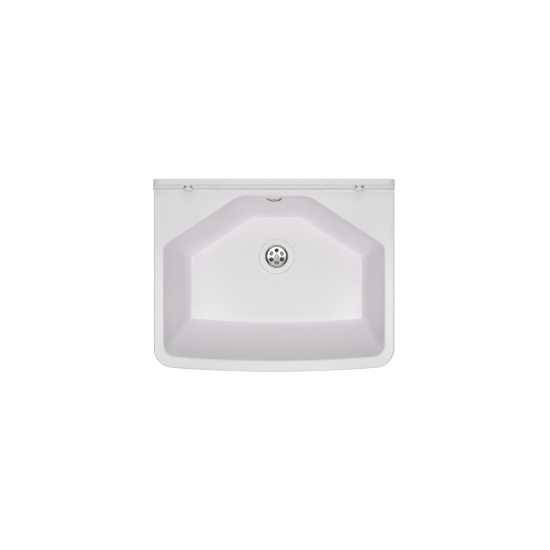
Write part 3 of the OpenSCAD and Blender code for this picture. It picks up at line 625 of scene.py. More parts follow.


# Painted highlight along the crease and painted light on the floor, lighter towards the front.
LINE_UP, LINE_HALF_H, LINE_FRONT = 0.1, 0.2, -361.0
FLOOR_LIGHT_UP, FLOOR_LIGHT_FRONT, FLOOR_LIGHT_SHARE, FACES_UP = 1.0, -360.0, 0.8, 0.93
tree = gel_coat_with_painted_light.node_tree
where = add(tree, "ShaderNodeTexCoord").outputs
axes = add(tree, "ShaderNodeSeparateXYZ", {0: where["Object"]}).outputs
facing = add(tree, "ShaderNodeSeparateXYZ", {0: where["Normal"]}).outputs["Z"]
span = {0: axes["Z"], 1: (LINE_UP - BOWL_DEPTH) * MM, 2: LINE_HALF_H * MM}
crease = add(tree, "ShaderNodeMath", span, operation="COMPARE")
behind = add(tree, "ShaderNodeMath", {0: axes["Y"], 1: LINE_FRONT * MM}, operation="GREATER_THAN")
line = add(tree, "ShaderNodeMath", {0: crease.outputs[0], 1: behind.outputs[0]}, operation="MULTIPLY")
deep = add(tree, "ShaderNodeMath", {0: axes["Z"], 1: (FLOOR_LIGHT_UP - BOWL_DEPTH) * MM}, operation="LESS_THAN")
span = {"Value": axes["Y"], "From Min": -DRAIN_Y * MM, "From Max": FLOOR_LIGHT_FRONT * MM, "To Max": FLOOR_LIGHT_SHARE}
floor_light_growth = add(tree, "ShaderNodeMapRange", span)
painted_floor_light = add(tree, "ShaderNodeMath", {0: deep.outputs[0], 1: floor_light_growth.outputs["Result"]}, operation="MULTIPLY")
painted_crease_and_floor_light = add(tree, "ShaderNodeMath", {0: line.outputs[0], 1: painted_floor_light.outputs[0]}, operation="MAXIMUM")
flat = add(tree, "ShaderNodeMath", {0: facing, 1: FACES_UP}, operation="GREATER_THAN")
painted_crease_and_floor_light = add(tree, "ShaderNodeMath", {0: painted_crease_and_floor_light.outputs[0], 1: flat.outputs[0]}, operation="MULTIPLY")
tinted(gel_coat_with_painted_light, painted_crease_and_floor_light.outputs[0], "#fefdfe")
print("front end of the line of lime:", LINE_FRONT, "mm")

# %% [markdown]
# ## The waste
#
# A white collar sits in the floor, and a pressed steel dish drops into its cone. Both are turned shapes, so
# a lathe makes them. The dish is thin sheet: it is drawn here as a real 0.8 mm wall with soft bends, because
# the eye reads sheet metal from its edges. Its disc is domed by half a millimetre, as pressed discs are, and
# that is enough to shade its reflection from top to bottom.

# %% Sizes of the waste
COLLAR_D, COLLAR_T, COLLAR_TOP, DISH_TOP = 97.5, 2.8, -203.2, -204.6
DISH_D, DISC_D, DISH_H, DISH_T, DISH_RIM, DISH_LEAN = 65.0, 52.0, 7.4, 0.8, 1.5, 5.0 / 7.4
DISC_TOP, DISC_LOW, DOME_H = DISH_TOP - DISH_H, DISH_TOP - DISH_H - DISH_T, 0.5
DISH_BACK_R = DISC_D / 2 - DISH_T * DISH_LEAN + DISH_T * math.hypot(1, DISH_LEAN)
DISH_HOLES, DISH_HOLE_D, DISH_PITCH_D = 6, 12.6, 34.2
HEAD_D, HEAD_H, SHANK_D, SHANK_L = 13.6, 2.6, 6.0, 26.0
SLIP, SEATED = 0.3, 0.1


def punch(diameter, low, high, edge, matrix):
    """Cutter for a round hole whose two edges are rolled over."""
    r = diameter / 2
    foot = arc(np.array([r, low]), np.array([-1.0, 0.0]), np.array([0.0, 1.0]), edge, 3)
    mouth = arc(np.array([r, high]), np.array([0.0, 1.0]), np.array([1.0, 0.0]), edge, 3)
    outline = [(0, low - 1), (r + edge, low - 1)] + [(float(a), float(b)) for a, b in foot + mouth]
    return lathe("punch", outline + [(r + edge, high + 1), (0, high + 1)], matrix, 48)


def spin(degrees):
    return Matrix.Rotation(math.radians(degrees), 4, "Z")


def shift(x=0.0, y=0.0, z=0.0):
    return Matrix.Translation((x, y, z))


print("holes in the dish:", DISH_HOLES, "of", DISH_HOLE_D, "mm")

# %% Collar
foot_z, neck_r, seat_r = DISC_LOW + DISH_T / 2, FLOOR_HOLE_D / 2 - SLIP, DISH_D / 2 + SEATED
collar = lathe("waste_collar_ring", rounded([
    (COLLAR_D / 2, COLLAR_TOP - COLLAR_T), (COLLAR_D / 2, COLLAR_TOP, 1.4), (seat_r + 1, DISH_TOP, 0.5),
    (seat_r, DISH_TOP, 0.2), (seat_r, DISH_TOP - DISH_T),
    (DISH_BACK_R + DISH_LEAN * DISH_H + SEATED, DISH_TOP - DISH_T),
    (DISH_BACK_R + DISH_LEAN * DISH_T / 2 + SEATED, foot_z), (neck_r, foot_z), (neck_r, COLLAR_TOP - COLLAR_T),
], 6), AT_DRAIN, 160)
dress(collar, glossy_polypropylene, "white_collar", "waste_collar", crisp=30.0)

# %% Dish
dome = [(share * DISC_D / 2, DOME_H * (1 - share**2)) for share in (0.8, 0.6, 0.4, 0.2, 0.0)]
dish = lathe("pressed_strainer_dish", rounded([
    (DISH_D / 2, DISH_TOP - DISH_T, 0.25), (DISH_D / 2, DISH_TOP, 0.35), (DISH_D / 2 - DISH_RIM, DISH_TOP, 0.9),
    (DISC_D / 2, DISC_TOP, 0.9), *[(r, DISC_TOP + z) for r, z in dome],
    *[(r, DISC_LOW + z) for r, z in dome[::-1]],
    (DISH_BACK_R, DISC_LOW, 1.6), (DISH_BACK_R + DISH_LEAN * DISH_H, DISH_TOP - DISH_T, 0.2),
], 6), AT_DRAIN, 160)
holes = []
for i in range(DISH_HOLES):
    here = AT_DRAIN @ spin(90 + 360 / DISH_HOLES * i) @ shift(DISH_PITCH_D / 2)
    holes.append(punch(DISH_HOLE_D, DISC_LOW + DOME_H / 2, DISC_TOP + DOME_H / 2, 0.25, here))
holes.append(rod("screw hole", SHANK_D + 2 * SLIP, DISC_LOW - 1, DISC_TOP + 1, AT_DRAIN, 48))
combine(dish, "DIFFERENCE", *holes)
dress(dish, polished_steel, "polished_steel", "strainer_dish", crisp=40.0)

# %% [markdown]
# Only the disc is polished. The rim and the drawn wall are dark, and that dark colour is painted shade. On the
# wall, painted reflection lightens the front and the back, and the sides stay dark.

# %% Drawn wall: painted shade and painted reflection
def way_from(tree, centre_mm, along, operation):
    """The way from a centre, along some of the axes only: its LENGTH, or its direction (NORMALIZE)."""
    where = add(tree, "ShaderNodeTexCoord").outputs["Object"]
    way = add(tree, "ShaderNodeVectorMath", {0: where, 1: [c * MM for c in centre_mm]}, operation="SUBTRACT")
    way = add(tree, "ShaderNodeVectorMath", {0: way.outputs[0], 1: along}, operation="MULTIPLY")
    return add(tree, "ShaderNodeVectorMath", {0: way.outputs[0]}, operation=operation)


REFLECTION_FROM, REFLECTION_FULL = 0.3, 0.7
shade_and_reflection_steel = metal("grained_stainless_steel_wall", *WALL_SHADE_LAYERS)
tree = shade_and_reflection_steel.node_tree
# Painted reflection: the wall is lighter where it faces the front or the back.
way = way_from(tree, (0.0, -DRAIN_Y, 0.0), (1.0, 1.0, 0.0), "NORMALIZE")
heading = add(tree, "ShaderNodeSeparateXYZ", {0: way.outputs[0]}).outputs["Y"]
reflection_share = add(tree, "ShaderNodeMath", {0: heading, 1: heading}, operation="MULTIPLY").outputs[0]
span = {"Value": reflection_share, "From Min": REFLECTION_FROM, "From Max": REFLECTION_FULL}
tinted(shade_and_reflection_steel, add(tree, "ShaderNodeMapRange", span).outputs["Result"], "#dddbd7")
dish.data.materials.append(shade_and_reflection_steel)
dish.data.materials.append(shaded_wall_steel)
for face in dish.data.polygons:
    x, y, z = (c / MM for c in face.center)
    r = math.hypot(x, y + DRAIN_Y)
    if r > DISC_D / 2 and z > DISC_TOP + 0.3:
        face.material_index = 1 if r < DISH_D / 2 - DISH_RIM else 2
for i, part in ((1, "wall"), (2, "rim")):
    print(f"faces of the {part}:", sum(face.material_index == i for face in dish.data.polygons))

# %% [markdown]
# Screws and the outlet tail share one idea: a thread is a turned bar whose radius rises and falls with the
# height and with the angle together. A pipe thread has rounded crests and roots, so a cosine draws it well.


# %% Threads and screws
def threaded(name, low, high, major_d, depth, pitch, matrix, turns=48, rows=8):
    """Bar with a helical thread that fades out at both ends."""
    count = int((high - low) / pitch * rows)
    angles = np.linspace(0, 2 * math.pi, turns, endpoint=False)
    stack = []
    for i in range(count + 1):
        z = low + (high - low) * i / count
        fade = min(1.0, (z - low) / pitch, (high - z) / pitch)
        wave = 0.5 - 0.5 * np.cos(2 * math.pi * (z / pitch) - angles)
        radius = major_d / 2 - depth + depth * fade * wave
        stack.append(np.column_stack([radius * np.cos(angles), radius * np.sin(angles), np.full(turns, z)]))
    return loft(name, stack, matrix)


def rectangle(half_x, half_y):
    return [(-half_x, -half_y), (half_x, -half_y), (half_x, half_y), (-half_x, half_y)]


def screw(name, head_d, head_h, shank_d, shank_l, matrix):
    """Slotted screw with a turned cone. Its head stands on z = 0 and its shank goes down."""
    side_h, tip_r, half_slot, slot_floor = head_h * 0.25, head_d * 0.26, head_d * 0.07, head_h * 0.55
    piece = lathe(name, rounded([
        (0, 0), (head_d / 2, 0, 0.15), (head_d / 2, side_h, 0.3), (tip_r, head_h, 0.5), (0, head_h),
    ]), matrix, 72)
    shank = threaded("shank", -shank_l, head_h / 2, shank_d, shank_d * 0.08, shank_d / 6, matrix, 32)
    combine(piece, "UNION", shank)
    cutter = prism("slot", rectangle(head_d, half_slot), slot_floor, 2 * head_h, matrix)
    return combine(piece, "DIFFERENCE", cutter)


at_screw = AT_DRAIN @ shift(z=DISC_TOP + DOME_H * 0.9) @ spin(35)
strainer_screw = screw("slotted_strainer_screw", HEAD_D, HEAD_H, SHANK_D, SHANK_L, at_screw)
dress(strainer_screw, turned_steel, "polished_steel", "strainer_screw", crisp=35.0)

# %% [markdown]
# Below the floor hangs the body of the waste: a flanged cup with three arms and a hub for the screw, a
# threaded tail for the trap, and a side inlet for the overflow hose. Parts of the arms can be seen through
# the holes of the dish.

# %% Sizes and tools of the waste body
BODY_TOP, BODY_LOW, TAIL_TOP, TAIL_LOW = -219.0, -265.0, -277.0, -305.0
BODY_BORE_D, BODY_R, FLANGE_D, FLANGE_T = 60.0, 33.5, 90.0, 5.0
TAIL_D, TAIL_BORE_D, THREAD_PITCH, THREAD_DEPTH = 47.8, 40.4, 2.309, 1.48
HUB_D, HUB_TOP, INSERT_D, INSERT_L = 17.0, DISC_LOW - SLIP, 10.0, 16.0
ARM_ANGLES, ARM_W, ARM_H, ARM_TOP = (30, 150, 270), 4.4, 9.0, DISC_LOW - 1.2
SPIGOT_D, SPIGOT_BORE_D, SPIGOT_L, CUFF_D, STANDOFF = 18.4, 14.0, 22.0, 23.2, 4.0
SPIGOT_Z, INLET_START = BODY_TOP - FLANGE_T - (BODY_TOP - BODY_LOW) / 3, BODY_R + STANDOFF
AT_INLET = AT_DRAIN @ turned(0, 0, SPIGOT_Z, -90)
minor_r = TAIL_D / 2 - THREAD_DEPTH


def nozzle(matrix, start, boss_from=0.0):
    """Spigot for a hose with the shoulder that stops it."""
    return lathe("nozzle", rounded([
        (0, boss_from), (CUFF_D / 2, boss_from), (CUFF_D / 2, start - SLIP, 0.6), (SPIGOT_D / 2, start - SLIP),
        (SPIGOT_D / 2, start + SPIGOT_L, 0.8), (0, start + SPIGOT_L),
    ]), matrix, 72)


def block(name, low, high, matrix, edge_mm=0.5):
    """Rectangular bar with its arrises taken off."""
    (x, y, z), (x1, y1, z1) = low, high
    return soften(prism(name, [(x, y), (x1, y), (x1, y1), (x, y1)], z, z1, matrix), edge_mm)


print("outlet tail:", TAIL_D, "mm across, with a thread pitch of", THREAD_PITCH, "mm")

# %% Waste body
waste_body = lathe("moulded_waste_body", rounded([
    (0, BODY_TOP), (FLANGE_D / 2, BODY_TOP, 0.8), (FLANGE_D / 2, BODY_TOP - FLANGE_T, 1.2),
    (BODY_R, BODY_TOP - FLANGE_T, 1.5), (BODY_R, BODY_LOW, 2.0), (TAIL_D / 2, TAIL_TOP, 2.0),
    (TAIL_D / 2, TAIL_TOP - 4, 0.5), (minor_r, TAIL_TOP - 5), (minor_r, TAIL_LOW, 0.5), (0, TAIL_LOW),
]), AT_DRAIN, 128)
thread = threaded("thread", TAIL_LOW + 0.8, TAIL_TOP - 3.5, TAIL_D, THREAD_DEPTH, THREAD_PITCH, AT_DRAIN, 96)
combine(waste_body, "UNION", thread, nozzle(AT_INLET, INLET_START))
bore_r, tail_bore_r = BODY_BORE_D / 2, TAIL_BORE_D / 2
bore = lathe("bore", rounded([
    (0, BODY_TOP + 1), (bore_r + 1, BODY_TOP + 1), (bore_r + 0.7, BODY_TOP), (bore_r, BODY_TOP - 0.7),
    (bore_r, BODY_LOW, 3.0), (tail_bore_r, TAIL_TOP, 3.0), (tail_bore_r, TAIL_LOW - 1), (0, TAIL_LOW - 1),
]), AT_DRAIN, 128)
inlet = rod("inlet", SPIGOT_BORE_D, 0, INLET_START + SPIGOT_L + 1, AT_INLET, 64)
combine(waste_body, "DIFFERENCE", bore, inlet)
hub_low = HUB_TOP - INSERT_L - 4
inside = [lathe("hub", rounded([
    (0, HUB_TOP), (HUB_D / 2, HUB_TOP, 0.6), (HUB_D / 2, hub_low, 1.5), (0, hub_low),
]), AT_DRAIN, 72)]
for degrees in ARM_ANGLES:
    for foot, reach, crown in (
        (BODY_TOP - ARM_H - 1, bore_r + 1.75, BODY_TOP - 1), (BODY_TOP - ARM_H / 2, bore_r - 4, ARM_TOP),
    ):
        low, high = (HUB_D / 4, -ARM_W / 2, foot), (reach, ARM_W / 2, crown)
        inside.append(block("arm", low, high, AT_DRAIN @ spin(degrees)))
combine(waste_body, "UNION", *inside)
insert_hole = rod("insert hole", INSERT_D + 2 * SEATED, HUB_TOP - INSERT_L, HUB_TOP + 1, AT_DRAIN, 64)
screw_hole = rod("screw hole", SHANK_D + 2 * SLIP, DISC_TOP - SHANK_L - 3, HUB_TOP, AT_DRAIN, 48)
combine(waste_body, "DIFFERENCE", insert_hole, screw_hole)
dress(waste_body, grey_polypropylene, "grey_plastic", "waste_body", crisp=45.0)

# %% [markdown]
# ## The overflow
#
# Water that rises too high leaves through a small domed rosette. From above it shows only as a thin dark
# crescent below the lip of the back wall, so its depth and its holes matter more than its face.

# %% Rosette
ROSETTE_D, ROSETTE_H, ROSETTE_T = 47.0, 5.5, 0.9
ROSETTE_HOLES, ROSETTE_HOLE_D, ROSETTE_PITCH_D = 8, 5.0, 25.0
ROSETTE_HEAD_D, ROSETTE_HEAD_H, ROSETTE_SHANK_D = 9.0, 2.0, 5.0
outer_r, inner_r = (ROSETTE_PITCH_D + ROSETTE_HOLE_D) / 2, (ROSETTE_PITCH_D - ROSETTE_HOLE_D) / 2
edge_r, well_r, rise, shoulder = ROSETTE_D / 2, ROSETTE_HEAD_D / 2 + 0.6, 0.6, ROSETTE_H * 0.75
brim, under = edge_r - 2.5, ROSETTE_H - ROSETTE_T
rosette = lathe("pressed_overflow_rosette", rounded([
    (edge_r, 0), (edge_r, ROSETTE_T, 0.4), (brim, ROSETTE_T + rise, 1.0), (outer_r, shoulder, 3.0),
    (inner_r, ROSETTE_H, 3.0), (well_r, ROSETTE_H, 0.3), (well_r, under), (0, under), (0, under - ROSETTE_T),
    (well_r, under - ROSETTE_T), (well_r + ROSETTE_T, under), (inner_r, under), (outer_r, shoulder - ROSETTE_T),
    (brim, rise), (brim, 0),
], 5), AT_OVERFLOW, 144)
holes = []
for i in range(ROSETTE_HOLES):
    here = AT_OVERFLOW @ spin(360 / ROSETTE_HOLES * i) @ shift(ROSETTE_PITCH_D / 2)
    holes.append(rod("hole", ROSETTE_HOLE_D, -1, ROSETTE_H + 1, here, 40))
holes.append(rod("screw hole", ROSETTE_SHANK_D + 2 * SEATED, -1, ROSETTE_H + 1, AT_OVERFLOW, 40))
combine(rosette, "DIFFERENCE", *holes)
print("rosette:", ROSETTE_D, "mm across, with", ROSETTE_HOLES, "holes of", ROSETTE_HOLE_D, "mm")

# %% [markdown]
# The brim stays bright. A dark bow of painted shade lies across the dome, with its horns up: what lies near a
# point above the middle of the rosette, but not near a second one, higher still.

# %% The painted shade on the rosette
# Each point of the bow: its height above the middle, and the distances where its part starts and is full.
BOW = (13.0, 21.5, 16.5), (33.6, 22.5, 28.5)
crescent_shade_steel = metal("water_marked_stainless_steel", "#efeeeb", "#e6e5e2", 6.0, (0.3, 0.42), 0.5, 0.002)
tree = crescent_shade_steel.node_tree
parts = []
for up, start, full in BOW:
    away = way_from(tree, (0.0, 0.0, up - OVERFLOW_DEPTH), (1.0, 0.0, 1.0), "LENGTH").outputs["Value"]
    span = {"Value": away, "From Min": start * MM, "From Max": full * MM}
    parts.append(add(tree, "ShaderNodeMapRange", span).outputs["Result"])
# Painted shade: a dark crescent mixed into the colour of the steel.
crescent_shade = add(tree, "ShaderNodeMath", {0: parts[0], 1: parts[1]}, operation="MULTIPLY").outputs[0]
tinted(crescent_shade_steel, crescent_shade, "#6e6d69")
dress(rosette, crescent_shade_steel, "polished_steel", "overflow_rosette", crisp=30.0)

# %% [markdown]
# One screw in the middle holds the rosette. It is long, because it reaches through the wall to a post.

# %% The screw of the rosette
POST_TOP, ELBOW_INSERT_D, ELBOW_INSERT_L = -13.0, 7.5, 12.0
shank_l = under - POST_TOP + ELBOW_INSERT_L * 0.7
at_screw = AT_OVERFLOW @ shift(z=under) @ spin(20)
rosette_screw = screw(
    "slotted_overflow_screw", ROSETTE_HEAD_D, ROSETTE_HEAD_H, ROSETTE_SHANK_D, shank_l, at_screw,
)
dress(rosette_screw, turned_steel, "polished_steel", "overflow_screw", crisp=35.0)

# %% [markdown]
# Behind the wall a round chamber catches the water and turns it down into the hose. Its post takes the
# screw of the rosette, so the two clamp the wall between them.

# %% Elbow
ELBOW_AT, ELBOW_D, ELBOW_T, ELBOW_DEEP, ELBOW_FLANGE_D = -10.0, 39.0, 2.0, 23.0, 42.0
ELBOW_BACK = ELBOW_AT - ELBOW_DEEP
SPIGOT_AT, SPIGOT_START = ELBOW_BACK + ELBOW_T + SPIGOT_D / 2 - 0.5, ELBOW_D / 2 + STANDOFF
AT_OUTLET = AT_OVERFLOW @ turned(0, 0, SPIGOT_AT, 90)
elbow = lathe("moulded_overflow_elbow", rounded([
    (0, ELBOW_AT), (ELBOW_FLANGE_D / 2, ELBOW_AT, 0.4), (ELBOW_FLANGE_D / 2, ELBOW_AT - 3, 0.5),
    (ELBOW_D / 2, ELBOW_AT - 3, 0.5), (ELBOW_D / 2, ELBOW_BACK, 2.0), (0, ELBOW_BACK),
]), AT_OVERFLOW, 112)
combine(elbow, "UNION", nozzle(AT_OUTLET, SPIGOT_START, ELBOW_D / 2 - 4))
room_r, room_back = ELBOW_D / 2 - ELBOW_T, ELBOW_BACK + ELBOW_T
hollow = lathe("hollow", rounded([
    (0, ELBOW_AT + 1), (room_r, ELBOW_AT + 1), (room_r, room_back, 1.5), (0, room_back),
]), AT_OVERFLOW, 112)
outlet = rod("outlet", SPIGOT_BORE_D, 0, SPIGOT_START + SPIGOT_L + 1, AT_OUTLET, 64)
combine(elbow, "DIFFERENCE", hollow, outlet)
combine(elbow, "UNION", rod("post", ELBOW_INSERT_D + 4, ELBOW_BACK + ELBOW_T / 2, POST_TOP, AT_OVERFLOW, 48))
insert_d, insert_foot = ELBOW_INSERT_D + 2 * SEATED, POST_TOP - ELBOW_INSERT_L
combine(elbow, "DIFFERENCE", rod("insert hole", insert_d, insert_foot, POST_TOP + 1, AT_OVERFLOW, 48))
dress(elbow, grey_polypropylene, "grey_plastic", "overflow_elbow", crisp=40.0)

# %% [markdown]
# ## The overflow hose
#
# The hose is blow-moulded: smooth cuffs at both ends and rounded ribs between them, which let it bend. It is
# drawn along its centre line, which runs down the wall, round a bend and level to the waste. The outside
# and the bore are one closed skin, so the hose is open from end to end.

# %% The line of the hose
CUFF_BORE_D, CUFF_L, RIB_D, ROOT_D, HOSE_BORE_D, RIB_PITCH, BEND_R = 19.0, 26.0, 24.8, 22.6, 18.6, 5.0, 60.0
draft = DRAFTS[0]
down = np.array([-math.sin(draft), -math.cos(draft)])
top = np.array([
    OVERFLOW_Y - SPIGOT_AT * math.cos(draft) - SPIGOT_START * math.sin(draft),
    -OVERFLOW_DEPTH + SPIGOT_AT * math.sin(draft) - SPIGOT_START * math.cos(draft),
])
end = np.array([INLET_START - DRAIN_Y, SPIGOT_Z])
turn_at = top + down * (top[1] - end[1]) / math.cos(draft)
turn = math.pi / 2 - draft
setback = BEND_R * math.tan(turn / 2)
fall, bend = np.linalg.norm(turn_at - top) - setback, BEND_R * turn
hose_length = fall + bend + np.linalg.norm(turn_at - end) - setback
centre = top + down * fall + BEND_R * np.array([-math.cos(draft), math.sin(draft)])


def hose_at(s):
    """Point and heading in the plane of symmetry at a distance from the upper end."""
    if s <= fall:
        return top + down * s, down
    if s <= fall + bend:
        a = draft + (s - fall) / BEND_R
        return centre + BEND_R * np.array([math.cos(a), -math.sin(a)]), np.array([-math.sin(a), -math.cos(a)])
    return end + np.array([hose_length - s, 0.0]), np.array([-1.0, 0.0])


def hose_ring(s, radius, sides=36):
    point, heading = hose_at(s)
    across = np.array([heading[1], -heading[0]])
    angles = np.linspace(0, 2 * math.pi, sides, endpoint=False)
    up = point + np.outer(radius * np.sin(angles), across)
    return np.column_stack([radius * np.cos(angles), up])


print("length of the hose along its line:", round(hose_length, 1), "mm")

# %% The ribbed skin
ribbed = hose_length - 2 * CUFF_L
ribs, RIB_STEPS = round(ribbed / RIB_PITCH), 10
cuff_r, cuff_bore_r, root_r, rib_r = CUFF_D / 2, CUFF_BORE_D / 2, ROOT_D / 2, RIB_D / 2
cuff = [(0.0, cuff_bore_r + 0.3), (0.0, cuff_r - 0.5), (0.15, cuff_r - 0.15), (0.5, cuff_r)]
cuff += [(s, cuff_r) for s in (6.0, 12.0, 18.0, CUFF_L - 1.2)]
cuff_bore = [(s, cuff_bore_r) for s in (0.3, 8.0, 16.0, CUFF_L - 2.0)]
outside = list(cuff)
for i in range(ribs * RIB_STEPS + 1):
    wave = 0.5 - 0.5 * math.cos(2 * math.pi * i / RIB_STEPS)
    crest = wave * wave * (3 - 2 * wave)
    outside.append((CUFF_L + ribbed * i / (ribs * RIB_STEPS), root_r + (rib_r - root_r) * crest))
outside += [(hose_length - s, r) for s, r in cuff[::-1]]
bore = cuff_bore + [(s, HOSE_BORE_D / 2) for s in np.linspace(CUFF_L - 0.5, hose_length - CUFF_L + 0.5, 60)]
bore += [(hose_length - s, r) for s, r in cuff_bore[::-1]]
hose = loft("blow_moulded_overflow_hose", [hose_ring(s, r) for s, r in outside + bore[::-1]], closed=True)
dress(hose, hose_polyethylene, "hose_plastic", "overflow_hose", crisp=60.0)
print("ribs:", ribs)

# %% [markdown]
# A worm-drive clip holds each end: a thin band with a row of slots, a pressed housing, and a slotted screw
# whose worm bites into the slots.

# %% Clips
CLIP_W, CLIP_T, CLIP_HOUSE, CLIP_AT, CLIP_SCREW_D, CLIP_HEAD_D, CLIP_HEAD_H = 9.0, 0.9, 9.0, 5.0, 5.0, 7.0, 2.5
SLOTS, SLOT_L, SLOT_W, SLOT_SLANT, SLOTS_FROM, SLOTS_OVER = 23, 4.8, 0.9, 96.0, 35.0, 290.0
band_r = CUFF_D / 2 + SLIP
house_x = band_r + CLIP_T / 2 + CLIP_HOUSE / 2
screw_x = house_x + 0.8
HOSE_ENDS = {"upper": AT_OUTLET @ shift(z=SPIGOT_START), "lower": AT_INLET @ shift(z=INLET_START)}
for word, hose_end in HOSE_ENDS.items():
    here = hose_end @ shift(z=CLIP_AT)
    band = lathe(f"worm_drive_clip_{word}", rounded([
        (band_r - 1, 0), (band_r + CLIP_T, 0, 0.25), (band_r + CLIP_T, CLIP_W, 0.25), (band_r - 1, CLIP_W),
    ], 3), here, 96)
    slots = []
    for i in range(SLOTS):
        round_band = spin(SLOTS_FROM + SLOTS_OVER / (SLOTS - 1) * i)
        at_slot = here @ round_band @ shift(band_r + CLIP_T / 2, 0, CLIP_W / 2) @ turned(0, 0, 0, SLOT_SLANT)
        slots.append(prism("slot", rectangle(1, SLOT_L / 2), -SLOT_W / 2, SLOT_W / 2, at_slot))
    combine(band, "DIFFERENCE", *slots)
    low_x, high_x = house_x - CLIP_HOUSE / 2, house_x + CLIP_HOUSE / 2
    saddle = rounded([(low_x, 0, 0.6), (high_x, 0, 3.4), (high_x, CLIP_W, 3.4), (low_x, CLIP_W, 0.6)], 6)
    housing = soften(prism("housing", saddle, -CLIP_HOUSE / 2, CLIP_HOUSE / 2, here @ turned(0, 0, 0, 90)), 0.3)
    combine(band, "UNION", housing)
    worm_hole = here @ shift(screw_x, 0, CLIP_W / 2) @ turned(0, 0, 0, 90)
    combine(
        band, "DIFFERENCE", rod("inside", 2 * band_r, -1, CLIP_W + 1, here),
        rod("worm hole", CLIP_SCREW_D + 2 * SEATED, -CLIP_HOUSE, CLIP_HOUSE, worm_hole, 40),
    )
    dress(band, band_steel, "clip_steel", "hose_clips", crisp=30.0)
    at_screw = worm_hole @ shift(z=CLIP_HOUSE / 2)
    clip_screw = screw(
        f"worm_screw_{word}", CLIP_HEAD_D, CLIP_HEAD_H, CLIP_SCREW_D, CLIP_HOUSE + 3.0, at_screw,
    )
    dress(clip_screw, band_steel, "clip_steel", "clip_screws", crisp=35.0)

# %% [markdown]
# ## The caps
#
# Two small domed covers hide the wall screws. They push on over the bushes, so each one rides on its own
# body and can be pulled off.

# %% Caps
CAP_D, CAP_H, CAP_T = 22.0, 8.0, 1.4
cap_start, cap_face = BOSS_Y + SLIP, BOSS_Y + CAP_H
hollow_r = CAP_D / 2 - CAP_T
for side, word in ((-1, "left"), (1, "right")):
    cap = lathe(f"domed_cover_cap_{word}", rounded([
        (hollow_r, cap_start, 0.3), (CAP_D / 2, cap_start, 0.3), (CAP_D / 2, cap_face - 0.5, 2.2),
        (CAP_D * 0.25, cap_face, 6.0), (0, cap_face), (0, cap_face - CAP_T), (hollow_r, cap_face - CAP_T, 1.0),
    ], 8), AT_FIXING[side], 96)
    dress(cap, white_polypropylene, "white_plastic", f"fixing_cap_{word}", body=f"{word}_cap", crisp=30.0)

# %% [markdown]
# The bushes, seals and threaded inserts keep the shape of their solids. They only take the right finish.

# %% Finishes of the hidden pieces
HIDDEN = {
    "fixing_bushes": white_polypropylene, "collar_seal": seal_rubber, "body_seal": seal_rubber,
    "elbow_gasket": seal_rubber, "waste_insert": turned_brass, "elbow_insert": turned_brass,
}
for name, material in HIDDEN.items():
    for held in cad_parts[name].material_slots:
        held.material = material
print("repainted:", ", ".join(HIDDEN))

# %% [markdown]
# ## The stage, the light and the camera
#
# The sink hangs over a pale floor that just clears the end of its waste. The floor is white away from it and
# keeps its shadow, so the waste is as dark inside as it is when a trap is fitted. Seen from below, the floor
# is clear.

# %% Floor, in metres
FLOOR_LEVEL, FLOOR_HALF, NEAR_SHADE, WIDE_SHADE = -0.306, 6, 0.1, 0.4
DIM, DIM_TO, WHITE_FROM = 0.75, 0.6, 2.5


def seen(tree, *kinds):
    """1 for camera rays and the given kinds of ray, and 0 for all other rays."""
    path = add(tree, "ShaderNodeLightPath")
    total = path.outputs["Is Camera Ray"]
    for kind in kinds:
        total = add(tree, "ShaderNodeMath", {0: total, 1: path.outputs[kind]}, operation="MAXIMUM").outputs[0]
    return total


paper = bpy.data.materials.new("matt_white_floor")
paper.use_nodes = True
tree = paper.node_tree
tree.nodes.clear()
matt = add(tree, "ShaderNodeBsdfDiffuse", {"Color": colour("#f4f3f1")})
reach = add(tree, "ShaderNodeAmbientOcclusion", {"Distance": NEAR_SHADE})
lift = add(tree, "ShaderNodeMath", {0: reach.outputs["AO"], 1: seen(tree)}, operation="MULTIPLY")
where = add(tree, "ShaderNodeTexCoord").outputs["Object"]
away = add(tree, "ShaderNodeVectorMath", {0: where}, operation="LENGTH").outputs["Value"]
span = {"Value": away, "From Min": DIM_TO, "From Max": WHITE_FROM, "To Min": DIM, "To Max": 1.0}
share = add(tree, "ShaderNodeMapRange", span)
lift = add(tree, "ShaderNodeMath", {0: lift.outputs[0], 1: share.outputs["Result"]}, operation="MULTIPLY")
glow = add(tree, "ShaderNodeEmission", {"Color": (1, 1, 1, 1), "Strength": lift.outputs[0]})
lit = add(tree, "ShaderNodeAddShader", {0: matt.outputs[0], 1: glow.outputs[0]})
wide = add(tree, "ShaderNodeAmbientOcclusion", {"Distance": WIDE_SHADE})
bright = add(tree, "ShaderNodeEmission", {"Color": (1, 1, 1, 1), "Strength": wide.outputs["AO"]})
glossy = add(tree, "ShaderNodeLightPath").outputs["Is Glossy Ray"]
top_side = add(tree, "ShaderNodeMixShader", {0: glossy, 1: lit.outputs[0], 2: bright.outputs[0]})
clear = add(tree, "ShaderNodeBsdfTransparent")
back = add(tree, "ShaderNodeNewGeometry").outputs["Backfacing"]
both = add(tree, "ShaderNodeMixShader", {0: back, 1: top_side.outputs[0], 2: clear.outputs[0]})
add(tree, "ShaderNodeOutputMaterial", {"Surface": both.outputs[0]})

floor_mesh = bpy.data.meshes.new("floor")
floor_points = [(x, y, FLOOR_LEVEL) for x, y in rectangle(FLOOR_HALF, FLOOR_HALF)]
floor_mesh.from_pydata(floor_points, [], [(0, 1, 2, 3)])
floor_mesh.materials.append(paper)
floor = bpy.data.objects.new("floor", floor_mesh)
scene.collection.objects.link(floor)
floor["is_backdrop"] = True
print("floor level:", FLOOR_LEVEL, "m")

# %% [markdown]
# The room is white, and even on all sides. On the sink it casts only a tenth of its light, so that the lamps
# can model the bowl. What the steel mirrors is the room at full strength, and that is white.

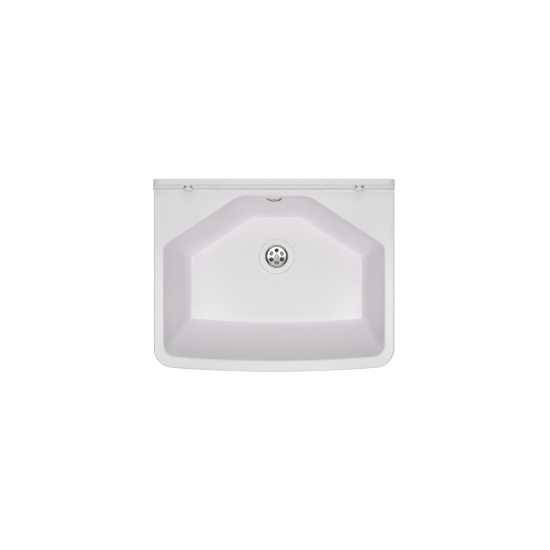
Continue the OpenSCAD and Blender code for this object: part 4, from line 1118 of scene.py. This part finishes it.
# %% Room
ROOM_LIGHT = 0.1
world = bpy.data.worlds.new("white_room")
scene.world = world
world.use_nodes = True
tree = world.node_tree
tree.nodes.clear()
room = add(tree, "ShaderNodeBackground", {"Color": (1, 1, 1, 1), "Strength": ROOM_LIGHT})
white = add(tree, "ShaderNodeBackground", {"Color": (1, 1, 1, 1), "Strength": 1.0})
mixed = add(tree, "ShaderNodeMixShader", {
    0: seen(tree, "Is Glossy Ray", "Is Transmission Ray"), 1: room.outputs[0], 2: white.outputs[0],
})
add(tree, "ShaderNodeOutputWorld", {"Surface": mixed.outputs[0]})
print("light of the room on the sink:", ROOM_LIGHT)

# %% [markdown]
# Eight square lamps stand round the sink and above it. The strongest two, in front and behind, model the rim
# and the walls. The upper ones reach the floor of the bowl. All of them are large, so every shadow is soft.


# %% Lamps
def lamp(name, place_m, aim_m, size_m, watts):
    """Soft square lamp that looks at a point."""
    data = bpy.data.lights.new(name, "AREA")
    data.shape, data.size, data.energy = "SQUARE", size_m, watts
    made = bpy.data.objects.new(name, data)
    made.location = place_m
    made.rotation_euler = (Vector(aim_m) - Vector(place_m)).to_track_quat("-Z", "Y").to_euler()
    scene.collection.objects.link(made)


AIM = (0.0, -0.25, -0.1)
LAMPS = {
    "front": ((0.0, -1.8, 1.4), 1.0, 8.6), "back": ((0.0, 1.3, 1.4), 1.0, 8.1),
    "left": ((-1.6, -0.24, 1.2), 1.0, 1.7), "right": ((1.6, -0.24, 1.2), 1.0, 2.2),
    "upper_left": ((-0.7, -0.4, 2.0), 0.6, 4.6), "upper_right": ((0.6, -0.4, 2.0), 0.6, 5.5),
    "upper_front": ((0.0, -0.9, 2.0), 0.6, 3.4), "overhead": ((-0.05, 0.18, 2.0), 0.6, 2.0),
}
for name, (place_m, size_m, watts) in LAMPS.items():
    lamp(name, place_m, AIM, size_m, watts)

# %% [markdown]
# The photograph looks straight down from about one and a half metres. The camera stands over the middle of
# the photograph and its picture is shifted a little, which keeps the rim square as it is in the picture.

# %% Camera
camera_data = bpy.data.cameras.new("camera")
camera_data.sensor_width, camera_data.lens = 36.0, 39.57
camera_data.shift_x = -0.0369
camera = bpy.data.objects.new("camera", camera_data)
camera.location = (0.0527, -0.2355, 1.5)
scene.collection.objects.link(camera)
scene.camera = camera
scene.view_settings.view_transform = "Standard"
print("camera height:", camera.location.z, "m")

# %% [markdown]
# Last, the box of the finished object is printed.

# %% Sizes and finish
low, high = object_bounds()
print("box of the finished object, in metres:", [round(b - a, 4) for a, b in zip(low, high)])
